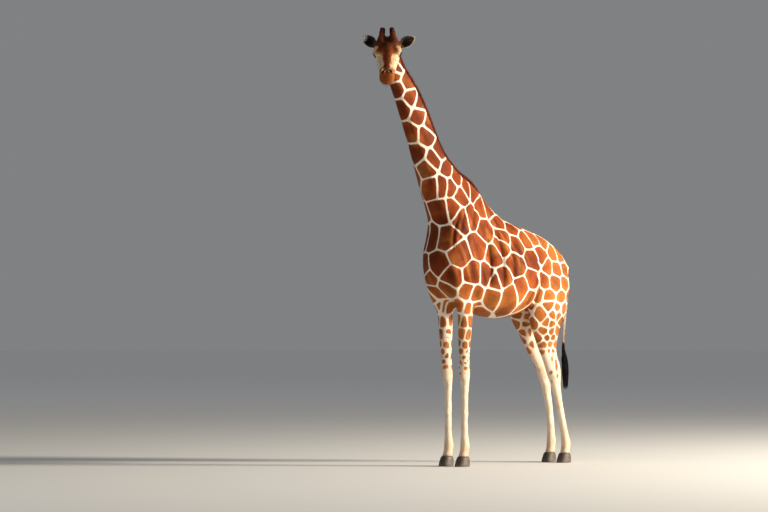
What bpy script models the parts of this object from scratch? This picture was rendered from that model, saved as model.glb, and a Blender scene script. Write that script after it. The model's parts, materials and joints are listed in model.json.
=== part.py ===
"""A reticulated giraffe, life size, standing square with its head turned to its left.

Metres, +Z up. The giraffe faces -Y and its left side is +X. The flesh is fused from lofts into one
body, then parted with thin flat cuts where a person would name its parts. The hooves, eyes, ears,
mane, tail and tail tuft are solids of their own that meet it. The finished model stands with the
middle of its box on the origin, on the flat soles of its four hooves.
"""

import math

import bmesh
import bpy
import numpy as np
from mathutils import Matrix, Vector

# ---- driving dimensions ----------------------------------------------------------------------
WITHERS = 3.09              # height of the shoulders, where y is zero while the body is built
BELLY = 1.67                # lowest point of the trunk
CHEST = 2.28                # height of the most forward point of the chest
ELBOW = 1.88
STIFLE = 1.75
KNEE = 1.06
HOCK = 1.09
FETLOCK = 0.23
HOOF = 0.105                # height of the hoof under the hair line
TAIL_TOP = 2.26
TAIL_END = 1.29             # where the bare tail ends and its tuft begins
TUFT_END = 0.84

POLL = Vector((0.0, -1.418, 4.747))      # middle of the back of the skull
HEAD_YAW = math.radians(45)             # the head is turned from straight ahead to the left
HEAD_PITCH = math.radians(48)           # the face points this far below the horizon
HEAD_ROLL = math.radians(1.5)
EYE_RADIUS = 0.024
EYE = (0.258, 0.123, 0.026)             # along the skull, to the side, above its axis
MANE_HEIGHT = 0.055
MANE_HALF_WIDTH = 0.015
MANE_ROUNDING = 0.012
MANE_ROOT = 0.035           # how far its solid reaches into the neck before it is cut to it
MANE_FIRST_ROW = 12         # of the trunk and neck rows: the withers
MANE_LAST_ROW = 24
MANE_FADE_ROWS = 4.0        # the mane rises to its full height over so many sections

GAP = 0.0003                # left between pieces that touch
VOXEL = 0.008               # grid on which the lofts are fused
BLEND = 12                  # smoothing passes over the fused body
BODY_TRIANGLES = 3900
HEAD_TRIANGLES = 10500      # of the whole body, which leaves the head about 2000

# The neck and trunk, from under the tail to the skull. Each row is a section through the body:
# its point (y, z) on the top line, its point on the underside, half its width, and how much
# narrower the top of the section is than the bottom.
TRUNK_AND_NECK = [
    ((1.395, 2.24), (1.330, 2.08), 0.100, 0.00),
    ((1.345, 2.35), (1.250, 2.00), 0.170, 0.00),
    ((1.235, 2.46), (1.120, 1.95), 0.230, 0.05),
    ((1.095, 2.56), (0.980, 1.93), 0.265, 0.10),
    ((0.940, 2.64), (0.840, 1.91), 0.285, 0.16),
    ((0.790, 2.685), (0.700, 1.84), 0.320, 0.22),
    ((0.650, 2.725), (0.520, 1.72), 0.366, 0.25),
    ((0.510, 2.755), (0.300, BELLY), 0.390, 0.28),
    ((0.380, 2.80), (0.050, 1.69), 0.384, 0.32),
    ((0.260, 2.86), (-0.200, 1.75), 0.356, 0.36),
    ((0.160, 2.935), (-0.460, 1.86), 0.315, 0.40),
    ((0.070, 3.02), (-0.670, 2.04), 0.278, 0.42),
    ((0.000, WITHERS), (-0.765, CHEST), 0.252, 0.40),
    ((-0.090, 3.15), (-0.725, 2.48), 0.240, 0.34),
    ((-0.210, 3.23), (-0.690, 2.68), 0.224, 0.24),
    ((-0.330, 3.29), (-0.760, 2.88), 0.203, 0.14),
    ((-0.435, 3.365), (-0.860, 3.07), 0.180, 0.08),
    ((-0.600, 3.53), (-0.968, 3.335), 0.152, 0.04),
    ((-0.735, 3.75), (-1.076, 3.595), 0.132, 0.02),
    ((-0.840, 3.955), (-1.170, 3.80), 0.118, 0.00),
    ((-0.972, 4.17), (-1.266, 4.035), 0.106, 0.00),
    ((-1.105, 4.335), (-1.358, 4.235), 0.097, 0.00),
    ((-1.215, 4.46), (-1.430, 4.40), 0.093, 0.00),
    ((-1.300, 4.61), (-1.480, 4.57), 0.086, 0.00),
]

# The left front leg with the shoulder: height, middle (x, y), half width, half depth.
FRONT_LEG = [
    (2.880, (0.060, -0.002), 0.040, 0.050),
    (2.740, (0.120, -0.122), 0.070, 0.140),
    (2.540, (0.172, -0.292), 0.090, 0.235),
    (2.330, (0.198, -0.392), 0.100, 0.285),
    (2.120, (0.195, -0.397), 0.099, 0.255),
    (ELBOW + 0.06, (0.180, -0.397), 0.094, 0.200),
    (ELBOW - 0.09, (0.166, -0.384), 0.083, 0.128),
    (ELBOW - 0.20, (0.160, -0.376), 0.073, 0.090),
    (KNEE + 0.44, (0.153, -0.374), 0.065, 0.080),
    (KNEE + 0.25, (0.147, -0.376), 0.056, 0.067),
    (KNEE + 0.12, (0.143, -0.374), 0.055, 0.064),
    (KNEE + 0.03, (0.140, -0.370), 0.059, 0.067),
    (KNEE - 0.06, (0.138, -0.366), 0.056, 0.062),
    (KNEE - 0.16, (0.136, -0.362), 0.046, 0.051),
    (KNEE - 0.34, (0.134, -0.364), 0.040, 0.045),
    (FETLOCK + 0.14, (0.130, -0.362), 0.040, 0.046),
    (FETLOCK, (0.130, -0.356), 0.051, 0.060),
    (FETLOCK - 0.06, (0.130, -0.364), 0.047, 0.053),
    (HOOF + 0.01, (0.130, -0.378), 0.058, 0.068),
    (HOOF - 0.03, (0.130, -0.382), 0.058, 0.070),
]

# The left hind leg with the thigh, in the same way.
HIND_LEG = [
    (2.400, (0.120, 1.060), 0.060, 0.120),
    (2.280, (0.160, 1.020), 0.105, 0.215),
    (2.100, (0.188, 0.975), 0.136, 0.285),
    (1.920, (0.194, 0.945), 0.136, 0.292),
    (STIFLE, (0.188, 0.920), 0.120, 0.286),
    (STIFLE - 0.14, (0.180, 0.905), 0.098, 0.240),
    (STIFLE - 0.28, (0.171, 0.920), 0.077, 0.184),
    (HOCK + 0.22, (0.161, 0.952), 0.061, 0.135),
    (HOCK + 0.10, (0.155, 1.010), 0.057, 0.120),
    (HOCK, (0.150, 1.056), 0.060, 0.115),
    (HOCK - 0.09, (0.147, 1.082), 0.058, 0.094),
    (HOCK - 0.20, (0.144, 1.110), 0.048, 0.067),
    (HOCK - 0.40, (0.139, 1.168), 0.040, 0.051),
    (FETLOCK + 0.22, (0.134, 1.238), 0.039, 0.049),
    (FETLOCK + 0.08, (0.131, 1.275), 0.043, 0.054),
    (FETLOCK, (0.130, 1.292), 0.051, 0.062),
    (FETLOCK - 0.06, (0.130, 1.288), 0.047, 0.055),
    (HOOF + 0.01, (0.130, 1.276), 0.057, 0.068),
    (HOOF - 0.03, (0.130, 1.272), 0.057, 0.070),
]
# The right hind leg stands more upright: how far its joints are set back at each height.
RIGHT_HIND_SET_BACK = [(0.0, 0.02), (FETLOCK, 0.025), (0.60, 0.105), (HOCK, 0.150), (STIFLE - 0.2, 0.11),
                       (STIFLE + 0.1, 0.03), (2.1, 0.0)]

# The skull and muzzle: along the skull from the poll, top, bottom, half width, narrowing of the top.
SKULL = [
    (-0.045, 0.015, -0.050, 0.040, 0.0),
    (-0.025, 0.058, -0.092, 0.075, 0.0),
    (0.020, 0.092, -0.125, 0.100, 0.0),
    (0.080, 0.104, -0.138, 0.116, -0.02),
    (0.145, 0.104, -0.136, 0.127, -0.06),
    (0.210, 0.099, -0.123, 0.133, -0.10),
    (0.275, 0.087, -0.109, 0.127, -0.06),
    (0.345, 0.071, -0.099, 0.118, 0.0),
    (0.415, 0.059, -0.090, 0.103, 0.03),
    (0.480, 0.054, -0.083, 0.088, 0.05),
    (0.540, 0.051, -0.083, 0.080, 0.05),
    (0.590, 0.038, -0.085, 0.083, 0.02),
    (0.625, 0.010, -0.077, 0.072, 0.0),
    (0.647, -0.022, -0.055, 0.045, 0.0),
]
# Lumps on the left half of the head, each with its middle and its half sizes along the skull, to the
# side and upward.
HEAD_LUMPS = [
    ((0.212, 0.084, 0.046), (0.090, 0.064, 0.048)),      # brow over the eye
    ((0.258, 0.092, 0.014), (0.080, 0.047, 0.056)),      # orbit round the eye
    ((0.150, 0.085, -0.060), (0.100, 0.046, 0.078)),     # jaw muscle
    ((0.105, 0.108, 0.012), (0.045, 0.034, 0.045)),      # root of the ear
    ((0.545, 0.047, 0.026), (0.042, 0.030, 0.028)),      # wing of the nostril
    ((0.585, 0.043, -0.030), (0.050, 0.044, 0.040)),     # upper lip
    ((0.575, 0.020, -0.074), (0.052, 0.038, 0.024)),     # chin
]
FOREHEAD_LUMP = ((0.180, 0.0, 0.064), (0.130, 0.090, 0.050))

# The left ossicone from inside the skull to its tip: along the skull, to the side, up, and radius.
OSSICONE = [
    (0.115, 0.070, 0.055, 0.066),
    (0.098, 0.068, 0.090, 0.053),
    (0.070, 0.063, 0.120, 0.042),
    (0.038, 0.057, 0.147, 0.034),
    (0.012, 0.051, 0.170, 0.031),
    (-0.004, 0.048, 0.185, 0.022),
]

EAR_LENGTH = 0.205
EAR_HALF_WIDTH = 0.062
EAR_THICKNESS = 0.009
EAR_ROOT = (0.118, 0.112, 0.012)
EAR_LIFT = {"left": math.radians(30), "right": math.radians(39)}      # out to the side and up
EAR_BACK = 0.10
EAR_COLUMNS = 7
# The ear from root to tip: distance, half width, and half the angle through which it is cupped.
EAR_SHAPE = [
    (0.00, 0.34, 2.30),
    (0.16, 0.52, 1.90),
    (0.34, 0.86, 1.30),
    (0.52, 1.00, 1.00),
    (0.70, 0.90, 0.85),
    (0.86, 0.60, 0.75),
    (0.96, 0.28, 0.70),
    (1.00, 0.10, 0.70),
]

TAIL_PATH = [(1.310, TAIL_TOP + 0.02), (1.390, TAIL_TOP - 0.04), (1.440, TAIL_TOP - 0.18), (1.435, 1.88),
             (1.405, 1.62), (1.388, 1.44), (1.398, TAIL_END - 0.01)]
TAIL_RADII = [0.048, 0.040, 0.031, 0.023, 0.018, 0.015, 0.014]
TUFT_PATH = [(1.397, TAIL_END + 0.03), (1.406, 1.20), (1.420, 1.08), (1.426, 0.94), (1.422, TUFT_END)]
TUFT_RADII = [0.016, 0.032, 0.046, 0.036, 0.006]

# The hoof from its sole up: height, how far forward its middle is, half width, half depth.
HOOF_RINGS = [
    (0.0, 0.016, 0.066, 0.094),
    (0.025, 0.013, 0.067, 0.092),
    (HOOF - GAP / 2, 0.0, 0.060, 0.073),
]
CLEFT_WIDTH = 0.008
CLEFT_DEPTH = 0.110
CLEFT_HEIGHT = 0.085
TOE_NOTCH = 0.030
HEEL_NOTCH_WIDTH = 0.011
HEEL_NOTCH_DEPTH = 0.035

COAT_COLOUR = (0.42, 0.10, 0.025)
CREAM_COLOUR = (0.80, 0.66, 0.45)
MANE_COLOUR = (0.12, 0.022, 0.012)
DARK_COLOUR = (0.015, 0.011, 0.010)
HOOF_COLOUR = (0.10, 0.075, 0.055)
EYE_COLOUR = (0.02, 0.010, 0.006)
COAT_ROUGHNESS = 0.8
HOOF_ROUGHNESS = 0.5
EYE_ROUGHNESS = 0.08


# ---- scene and materials ---------------------------------------------------------------------
for leftover in list(bpy.data.objects):
    bpy.data.objects.remove(leftover, do_unlink=True)

parts = bpy.data.collections.new("giraffe")
helpers = bpy.data.collections.new("giraffe_cutters")
bpy.context.scene.collection.children.link(parts)
bpy.context.scene.collection.children.link(helpers)


def material(name, colour, roughness):
    """A plain shader with one colour and roughness."""
    made = bpy.data.materials.new(name)
    made.use_nodes = True
    shader = made.node_tree.nodes["Principled BSDF"]
    shader.inputs["Base Color"].default_value = (*colour, 1.0)
    shader.inputs["Roughness"].default_value = roughness
    shader.inputs["Metallic"].default_value = 0.0
    return made


# ---- mesh helpers ----------------------------------------------------------------------------
def add_object(name, mesh, collection):
    """Put a mesh into the scene as an object, in one of the two collections."""
    made = bpy.data.objects.new(name, mesh)
    collection.objects.link(made)
    if collection is helpers:
        made.hide_render = True
        made.display_type = "WIRE"
    return made


def show(thing, finish):
    """Move a helper object among the visible parts and give it its material."""
    helpers.objects.unlink(thing)
    parts.objects.link(thing)
    thing.hide_render = False
    thing.display_type = "TEXTURED"
    thing.data.materials.clear()
    thing.data.materials.append(finish)
    return thing


def bake(thing):
    """Replace an object's mesh with what its modifiers make of it."""
    bpy.context.view_layer.update()
    graph = bpy.context.evaluated_depsgraph_get()
    done = bpy.data.meshes.new_from_object(thing.evaluated_get(graph), depsgraph=graph)
    thing.modifiers.clear()
    thing.data = done
    return thing


def as_mesh(builder, name):
    """Turn a bmesh into a mesh with its faces pointing out."""
    bmesh.ops.recalc_face_normals(builder, faces=builder.faces)
    made = bpy.data.meshes.new(name)
    builder.to_mesh(made)
    builder.free()
    return made


def curve_through(rows, steps):
    """A smooth table of numbers that passes through the given rows, with extra rows between them."""
    rows = np.array(rows, dtype=float)
    before = np.vstack([2 * rows[0] - rows[1], rows, 2 * rows[-1] - rows[-2]])
    smooth = []
    for index in range(len(rows) - 1):
        p0, p1, p2, p3 = before[index:index + 4]
        for step in range(steps):
            t = step / steps
            smooth.append(0.5 * (2 * p1 + (p2 - p0) * t + (2 * p0 - 5 * p1 + 4 * p2 - p3) * t ** 2
                                 + (3 * p1 - p0 - 3 * p2 + p3) * t ** 3))
    smooth.append(rows[-1])
    return np.array(smooth)


def loft(name, rings):
    """A closed skin over a row of rings that have equal numbers of points."""
    builder = bmesh.new()
    loops = [[builder.verts.new(point) for point in ring] for ring in rings]
    around = len(loops[0])
    for near, far in zip(loops, loops[1:]):
        for index in range(around):
            after = (index + 1) % around
            builder.faces.new((near[index], near[after], far[after], far[index]))
    builder.faces.new(loops[0])
    builder.faces.new(loops[-1])
    return add_object(name, as_mesh(builder, name), helpers)


def oval(middle, side, half_width, up, narrowing=0.0, around=28, squareness=0.92):
    """Points round a section: an oval across two directions, narrower on one side if asked."""
    points = []
    for index in range(around):
        angle = 2 * math.pi * index / around
        across = math.copysign(abs(math.cos(angle)) ** squareness, math.cos(angle))
        along = math.copysign(abs(math.sin(angle)) ** squareness, math.sin(angle))
        points.append(middle + side * (half_width * across * (1 - narrowing * math.sin(angle))) + up * along)
    return points


def lump(name, middle, half_sizes, turn):
    """An ellipsoid whose axes follow a rotation."""
    builder = bmesh.new()
    bmesh.ops.create_uvsphere(builder, u_segments=16, v_segments=10, radius=1.0)
    place = Matrix.Translation(middle) @ turn.to_4x4() @ Matrix.Diagonal((*half_sizes, 1.0))
    bmesh.ops.transform(builder, matrix=place, verts=builder.verts)
    return add_object(name, as_mesh(builder, name), helpers)


def tube(name, points, radii, around=20):
    """A tapering tube of round sections along a path in space."""
    points = [Vector(point) for point in points]
    rings = []
    for index, point in enumerate(points):
        ahead = (points[min(index + 1, len(points) - 1)] - points[max(index - 1, 0)]).normalized()
        side = ahead.cross(Vector((0.0, 1.0, 0.0)))
        if side.length < 0.2:
            side = ahead.cross(Vector((1.0, 0.0, 0.0)))
        side.normalize()
        rings.append(oval(point, side, radii[index], ahead.cross(side) * radii[index],
                          around=around, squareness=1.0))
    return loft(name, rings)


def join(name, things, collection=helpers):
    """One object that holds the shells of several."""
    builder = bmesh.new()
    for thing in things:
        builder.from_mesh(thing.data)
        bpy.data.objects.remove(thing, do_unlink=True)
    return add_object(name, as_mesh(builder, name), collection)


def block(name, middle, sizes, turn=Matrix.Identity(3)):
    """A box used as a cutter."""
    builder = bmesh.new()
    bmesh.ops.create_cube(builder, size=1.0)
    place = Matrix.Translation(middle) @ turn.to_4x4() @ Matrix.Diagonal((*sizes, 1.0))
    bmesh.ops.transform(builder, matrix=place, verts=builder.verts)
    return add_object(name, as_mesh(builder, name), helpers)


def boolean(thing, operation, cutter):
    """Cut an object with another, join them, or keep what they share."""
    step = thing.modifiers.new(operation.lower(), "BOOLEAN")
    step.operation = operation
    step.solver = "EXACT"
    step.object = cutter
    return bake(thing)


def copy_of(thing, name, collection=helpers):
    """A second object with its own mesh."""
    return add_object(name, thing.data.copy(), collection)


def grown(thing, distance, name):
    """A copy of an object with its surface moved outward."""
    made = copy_of(thing, name)
    step = made.modifiers.new("grow", "DISPLACE")
    step.mid_level = 0.0
    step.strength = distance
    return bake(made)


def turn_to(direction):
    """The rotation that lays a box's z along a direction."""
    return Vector((0.0, 0.0, 1.0)).rotation_difference(Vector(direction).normalized()).to_matrix()


def half_space(name, point, direction, size=6.0):
    """A large box that fills the side of a plane to which the direction points."""
    away = Vector(direction).normalized()
    return block(name, Vector(point) + away * (size / 2), (size, size, size), turn_to(away))


# ---- the head's own frame --------------------------------------------------------------------
FORWARD = Vector((math.sin(HEAD_YAW), -math.cos(HEAD_YAW), 0.0))
LEVEL_SIDE = Vector((math.cos(HEAD_YAW), math.sin(HEAD_YAW), 0.0))
ALONG = math.cos(HEAD_PITCH) * FORWARD - math.sin(HEAD_PITCH) * Vector((0.0, 0.0, 1.0))
ROLL = Matrix.Rotation(HEAD_ROLL, 3, ALONG)
SIDE = ROLL @ LEVEL_SIDE
UP = ALONG.cross(SIDE).normalized()
HEAD_TURN = Matrix((ALONG, SIDE, UP)).transposed()


def on_head(along, side, up):
    """A point of the head's frame in space."""
    return POLL + HEAD_TURN @ Vector((along, side, up))


# ---- the flesh -------------------------------------------------------------------------------
def trunk_and_neck():
    """The loft from under the tail to the skull."""
    rows = [(*top, *under, half_width, narrowing) for top, under, half_width, narrowing in TRUNK_AND_NECK]
    rings = []
    for top_y, top_z, under_y, under_z, half_width, narrowing in curve_through(rows, 4):
        top = Vector((0.0, top_y, top_z))
        under = Vector((0.0, under_y, under_z))
        rings.append(oval((top + under) / 2, Vector((1.0, 0.0, 0.0)), half_width, (top - under) / 2,
                          narrowing, around=40))
    return loft("trunk_and_neck", rings)


def leg(name, rows, mirror, set_back=()):
    """The loft of one leg, from inside the trunk to inside the hoof."""
    rows = [(height, x, y, half_width, half_depth) for height, (x, y), half_width, half_depth in rows]
    rings = []
    for height, x, y, half_width, half_depth in curve_through(rows, 4):
        if set_back:
            y += np.interp(height, [row[0] for row in set_back], [row[1] for row in set_back])
        rings.append(oval(Vector((x * mirror, y, height)), Vector((mirror, 0.0, 0.0)), half_width,
                          Vector((0.0, half_depth, 0.0))))
    return loft(name, rings)


def head_lofts():
    """The skull and muzzle with the lumps of brow, jaw, nostrils and lips, and the ossicones."""
    rings = []
    for along, top, bottom, half_width, narrowing in curve_through(SKULL, 4):
        rings.append(oval(on_head(along, 0.0, (top + bottom) / 2), SIDE, half_width,
                          UP * ((top - bottom) / 2), narrowing, around=36, squareness=0.86))
    made = [loft("skull", rings)]
    made.append(lump("forehead", on_head(*FOREHEAD_LUMP[0]), FOREHEAD_LUMP[1], HEAD_TURN))
    for mirror in (1, -1):
        for number, ((along, side, up), half_sizes) in enumerate(HEAD_LUMPS):
            middle = on_head(along, side * mirror, up)
            made.append(lump(f"lump_{number}_{mirror}", middle, half_sizes, HEAD_TURN))
        rows = curve_through(OSSICONE, 4)
        path = [on_head(along, side * mirror, up) for along, side, up, _ in rows]
        made.append(tube(f"ossicone_{mirror}", path, [row[3] for row in rows]))
    return made


def fused_flesh():
    """All the lofts fused into one closed body with soft joins."""
    lofts = [trunk_and_neck(), *head_lofts()]
    for mirror in (1, -1):
        lofts.append(leg(f"front_{mirror}", FRONT_LEG, mirror))
        lofts.append(leg(f"hind_{mirror}", HIND_LEG, mirror, () if mirror == 1 else RIGHT_HIND_SET_BACK))
    whole = join("flesh", lofts)
    fuse = whole.modifiers.new("fuse", "REMESH")
    fuse.mode = "VOXEL"
    fuse.voxel_size = VOXEL
    blend = whole.modifiers.new("blend", "SMOOTH")
    blend.factor = 0.5
    blend.iterations = BLEND
    return bake(whole)


def reduced(thing, triangles, name):
    """A copy of an object with about so many triangles."""
    made = copy_of(thing, name)
    builder = bmesh.new()
    builder.from_mesh(made.data)
    bmesh.ops.triangulate(builder, faces=builder.faces)
    count = len(builder.faces)
    made.data = as_mesh(builder, name)
    step = made.modifiers.new("reduce", "DECIMATE")
    step.ratio = triangles / count
    return bake(made)


whole = fused_flesh()
body = reduced(whole, BODY_TRIANGLES, "body")
fine_body = reduced(whole, HEAD_TRIANGLES, "fine_body")

# ---- cuts ------------------------------------------------------------------------------------
JAW_LINE = (FORWARD * 0.665 + Vector((0.0, 0.0, 0.747))).normalized()    # square to the jaw's lower edge
THROAT = POLL - FORWARD * 0.06 - Vector((0.0, 0.0, 0.205))
NECK_AXIS = Vector((0.0, -0.60, 0.80))
NECK_BASE = Vector((0.0, -0.43, 3.01))
# Each pair of legs: the stretch of y that holds its cut, and the height of the cut.
LEG_CUTS = {
    "front": ((-0.79, -0.20), 1.715),
    "hind": ((0.60, 1.55), 1.735),
}
MIDLINE = 0.01              # a leg's box starts this far from the plane of symmetry
LEG_REACH = 0.60            # and ends this far from it
BELOW_FLOOR = 1.0
OSSICONE_BOX = (0.092, 0.20)            # width and length of the box that holds an ossicone
DOWN = Vector((0.0, 0.0, -1.0))


def part_from(source, name, colour, *keepers):
    """A visible piece: what a body shares with each of the given cutters, with a coat of its own."""
    piece = show(copy_of(source, name), material(f"{name}_coat", colour, COAT_ROUGHNESS))
    for keeper in keepers:
        boolean(piece, "INTERSECT", keeper)
    return piece


def leg_box(name, mirror, spread, top, margin):
    """The box that holds one leg, larger by a margin where it is cut out of the trunk."""
    near, far = spread
    height = top + BELOW_FLOOR + margin
    sizes = (LEG_REACH - MIDLINE + 2 * margin, far - near + 2 * margin, height)
    middle = Vector((mirror * (LEG_REACH + MIDLINE) / 2, (near + far) / 2, height / 2 - BELOW_FLOOR))
    return block(name, middle, sizes)


head = part_from(fine_body, "head", COAT_COLOUR,
                 half_space("above_throat", THROAT + JAW_LINE * (GAP / 2), JAW_LINE))
neck = part_from(body, "neck", COAT_COLOUR,
                 half_space("below_throat", THROAT - JAW_LINE * (GAP / 2), -JAW_LINE),
                 half_space("above_neck_base", NECK_BASE + NECK_AXIS * (GAP / 2), NECK_AXIS))
trunk = part_from(body, "trunk", COAT_COLOUR,
                  half_space("below_neck_base", NECK_BASE - NECK_AXIS * (GAP / 2), -NECK_AXIS))
for pair, (spread, top) in LEG_CUTS.items():
    for side_name, mirror in (("left", 1), ("right", -1)):
        name = f"leg_{pair}_{side_name}"
        part_from(body, name, CREAM_COLOUR, leg_box(f"{name}_box", mirror, spread, top, 0.0),
                  half_space(f"{name}_above_hoof", -DOWN * (HOOF + GAP / 2), -DOWN))
        boolean(trunk, "DIFFERENCE", leg_box(f"{name}_space", mirror, spread, top, GAP))

# ---- ossicones -------------------------------------------------------------------------------
for side_name, mirror in (("left", 1), ("right", -1)):
    low, high = (on_head(OSSICONE[row][0], OSSICONE[row][1] * mirror, OSSICONE[row][2]) for row in (2, 4))
    axis = (high - low).normalized()
    width, length = OSSICONE_BOX
    middle = low + axis * (length / 2)
    turn = turn_to(axis)
    name = f"ossicone_{side_name}"
    part_from(head, name, DARK_COLOUR, block(f"{name}_box", middle, (width, width, length), turn))
    space = (width + 2 * GAP, width + 2 * GAP, length + 2 * GAP)
    boolean(head, "DIFFERENCE", block(f"{name}_space", middle, space, turn))

# ---- eyes ------------------------------------------------------------------------------------
for side_name, mirror in (("left", 1), ("right", -1)):
    middle = on_head(EYE[0], EYE[1] * mirror, EYE[2])
    socket = lump(f"socket_{side_name}", middle, (EYE_RADIUS + GAP,) * 3, HEAD_TURN)
    boolean(head, "DIFFERENCE", socket)
    eye = lump(f"eye_{side_name}", middle, (EYE_RADIUS,) * 3, HEAD_TURN)
    show(eye, material(f"eye_gloss_{side_name}", EYE_COLOUR, EYE_ROUGHNESS))

# ---- ears ------------------------------------------------------------------------------------
def ear(name, mirror, lift):
    """A cupped leaf, closed to a tube at its root, with its hollow facing forward."""
    root = on_head(EAR_ROOT[0], EAR_ROOT[1] * mirror, EAR_ROOT[2])
    along = LEVEL_SIDE * (mirror * math.cos(lift)) + Vector((0.0, 0.0, math.sin(lift)))
    along = (ROLL @ along - FORWARD * EAR_BACK).normalized()
    opening = (FORWARD - along * FORWARD.dot(along)).normalized()
    across = along.cross(opening)
    builder = bmesh.new()
    rows = []
    for distance, width, bend in curve_through(EAR_SHAPE, 2):
        row = []
        for index in range(EAR_COLUMNS):
            angle = bend * (2 * index / (EAR_COLUMNS - 1) - 1)
            radius = width * EAR_HALF_WIDTH / max(math.sin(min(bend, math.pi / 2)), 0.2)
            behind = radius * (math.cos(angle) - math.cos(bend))
            offset = across * (radius * math.sin(angle)) - opening * behind
            row.append(builder.verts.new(root + along * (distance * EAR_LENGTH) + offset))
        rows.append(row)
    for near, far in zip(rows, rows[1:]):
        for index in range(EAR_COLUMNS - 1):
            builder.faces.new((near[index], near[index + 1], far[index + 1], far[index]))
    made = show(add_object(name, as_mesh(builder, name), helpers),
                material(f"{name}_coat", COAT_COLOUR, COAT_ROUGHNESS))
    shell = made.modifiers.new("thickness", "SOLIDIFY")
    shell.thickness = EAR_THICKNESS
    shell.offset = 0.0
    return bake(made)


for side_name, mirror in (("left", 1), ("right", -1)):
    flap = ear(f"ear_{side_name}", mirror, EAR_LIFT[side_name])
    boolean(flap, "DIFFERENCE", grown(head, GAP, f"head_near_{flap.name}"))

# ---- mane ------------------------------------------------------------------------------------
def mane():
    """An upright fin of hair along the top line from behind the skull to the withers."""
    rows = [(*top, *under) for top, under, _, _ in TRUNK_AND_NECK[MANE_FIRST_ROW:MANE_LAST_ROW]]
    line = curve_through(rows, 2)
    rings = []
    for index, (top_y, top_z, under_y, under_z) in enumerate(line):
        top = Vector((0.0, top_y, top_z))
        step = line[min(index + 1, len(line) - 1)] - line[max(index - 1, 0)]
        along = Vector((0.0, step[0], step[1])).normalized()
        rise = Vector((0.0, -along.z, along.y))
        if rise.dot(top - Vector((0.0, under_y, under_z))) < 0:
            rise = -rise
        fade = min(1.0, 0.25 + index / MANE_FADE_ROWS)
        tip = top + rise * (MANE_HEIGHT * fade)
        shoulder = tip - rise * MANE_ROUNDING
        foot = top - rise * MANE_ROOT
        side = Vector((MANE_HALF_WIDTH, 0.0, 0.0))
        rings.append([foot - side, foot + side, shoulder + side * 0.8, tip + side * 0.3,
                      tip - side * 0.3, shoulder - side * 0.8])
    return show(loft("mane", rings), material("mane_hair", MANE_COLOUR, COAT_ROUGHNESS))


fin = mane()
boolean(fin, "DIFFERENCE", grown(body, GAP, "flesh_near_mane"))
boolean(fin, "DIFFERENCE", grown(head, GAP, "head_near_mane"))

# ---- tail and tuft ---------------------------------------------------------------------------
def hanging(name, path, radii, finish):
    """A tapering round piece that follows a path in the plane of symmetry."""
    rows = curve_through([(y, z, radius) for (y, z), radius in zip(path, radii)], 2)
    piece = tube(name, [(0.0, y, z) for y, z, _ in rows], [radius for _, _, radius in rows], around=9)
    return show(piece, finish)


tail = hanging("tail", TAIL_PATH, TAIL_RADII, material("tail_coat", CREAM_COLOUR, COAT_ROUGHNESS))
boolean(tail, "DIFFERENCE", grown(trunk, GAP, "trunk_near_tail"))
tuft = hanging("tail_tuft", TUFT_PATH, TUFT_RADII, material("tuft_hair", DARK_COLOUR, COAT_ROUGHNESS))
boolean(tail, "INTERSECT", half_space("above_tuft", -DOWN * TAIL_END, -DOWN))
boolean(tuft, "INTERSECT", half_space("below_tail", -DOWN * (TAIL_END - GAP), DOWN))

# ---- hooves ----------------------------------------------------------------------------------
def hoof(name, middle_x, middle_y):
    """A cloven hoof: sloping walls on a flat sole, parted at the toe and notched at the heel."""
    rings = []
    for height, forward, half_width, half_depth in HOOF_RINGS:
        rings.append(oval(Vector((middle_x, middle_y - forward, height)), Vector((1.0, 0.0, 0.0)), half_width,
                          Vector((0.0, half_depth, 0.0)), around=20, squareness=0.8))
    made = loft(name, rings)
    show(made, material(f"{name}_horn", HOOF_COLOUR, HOOF_ROUGHNESS))
    toe = middle_y - HOOF_RINGS[0][1] - HOOF_RINGS[0][3]
    heel = middle_y - HOOF_RINGS[0][1] + HOOF_RINGS[0][3]
    cutters = [
        block(f"{name}_cleft", (middle_x, toe, 0.0), (CLEFT_WIDTH, 2 * CLEFT_DEPTH, 2 * CLEFT_HEIGHT)),
        block(f"{name}_toe", (middle_x, toe - TOE_NOTCH / 5, 0.0), (TOE_NOTCH, TOE_NOTCH, 4 * HOOF),
              Matrix.Rotation(math.radians(45), 3, "Z")),
        block(f"{name}_heel", (middle_x, heel, 0.0), (HEEL_NOTCH_WIDTH, 2 * HEEL_NOTCH_DEPTH, HOOF * 0.8)),
    ]
    for cutter in cutters:
        boolean(made, "DIFFERENCE", cutter)
    return made


for leg_name, rows in (("front", FRONT_LEG), ("hind", HIND_LEG)):
    x, y = rows[-1][1]
    for side_name, mirror in (("left", 1), ("right", -1)):
        set_back = 0.0
        if leg_name == "hind" and mirror == -1:
            set_back = RIGHT_HIND_SET_BACK[0][1]
        hoof(f"hoof_{leg_name}_{side_name}", x * mirror, y + set_back)

# ---- stand it on the origin ------------------------------------------------------------------
corners = np.array([point.co for thing in parts.objects for point in thing.data.vertices])
low, high = corners.min(axis=0), corners.max(axis=0)
home = Matrix.Translation((-(low[0] + high[0]) / 2, -(low[1] + high[1]) / 2, -low[2]))
for thing in parts.objects:
    thing.data.transform(home)
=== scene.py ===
# %% [markdown]
# # A reticulated giraffe, life size
#
# This lesson dresses a plain solid giraffe as a museum model: one skin over the whole animal, a short
# coat with its net of cream lines, a stiff mane, a black tail tuft, wet dark eyes and cloven hooves.
#
# The solids come first, as a fixed frame. Every size below is in metres and is measured from them, so
# a piece lands where the frame says and nothing is fitted by eye afterwards.

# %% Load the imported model
import json
import math

import bmesh
import bpy
import numpy as np
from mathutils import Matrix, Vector, noise
from mathutils.bvhtree import BVHTree

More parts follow.
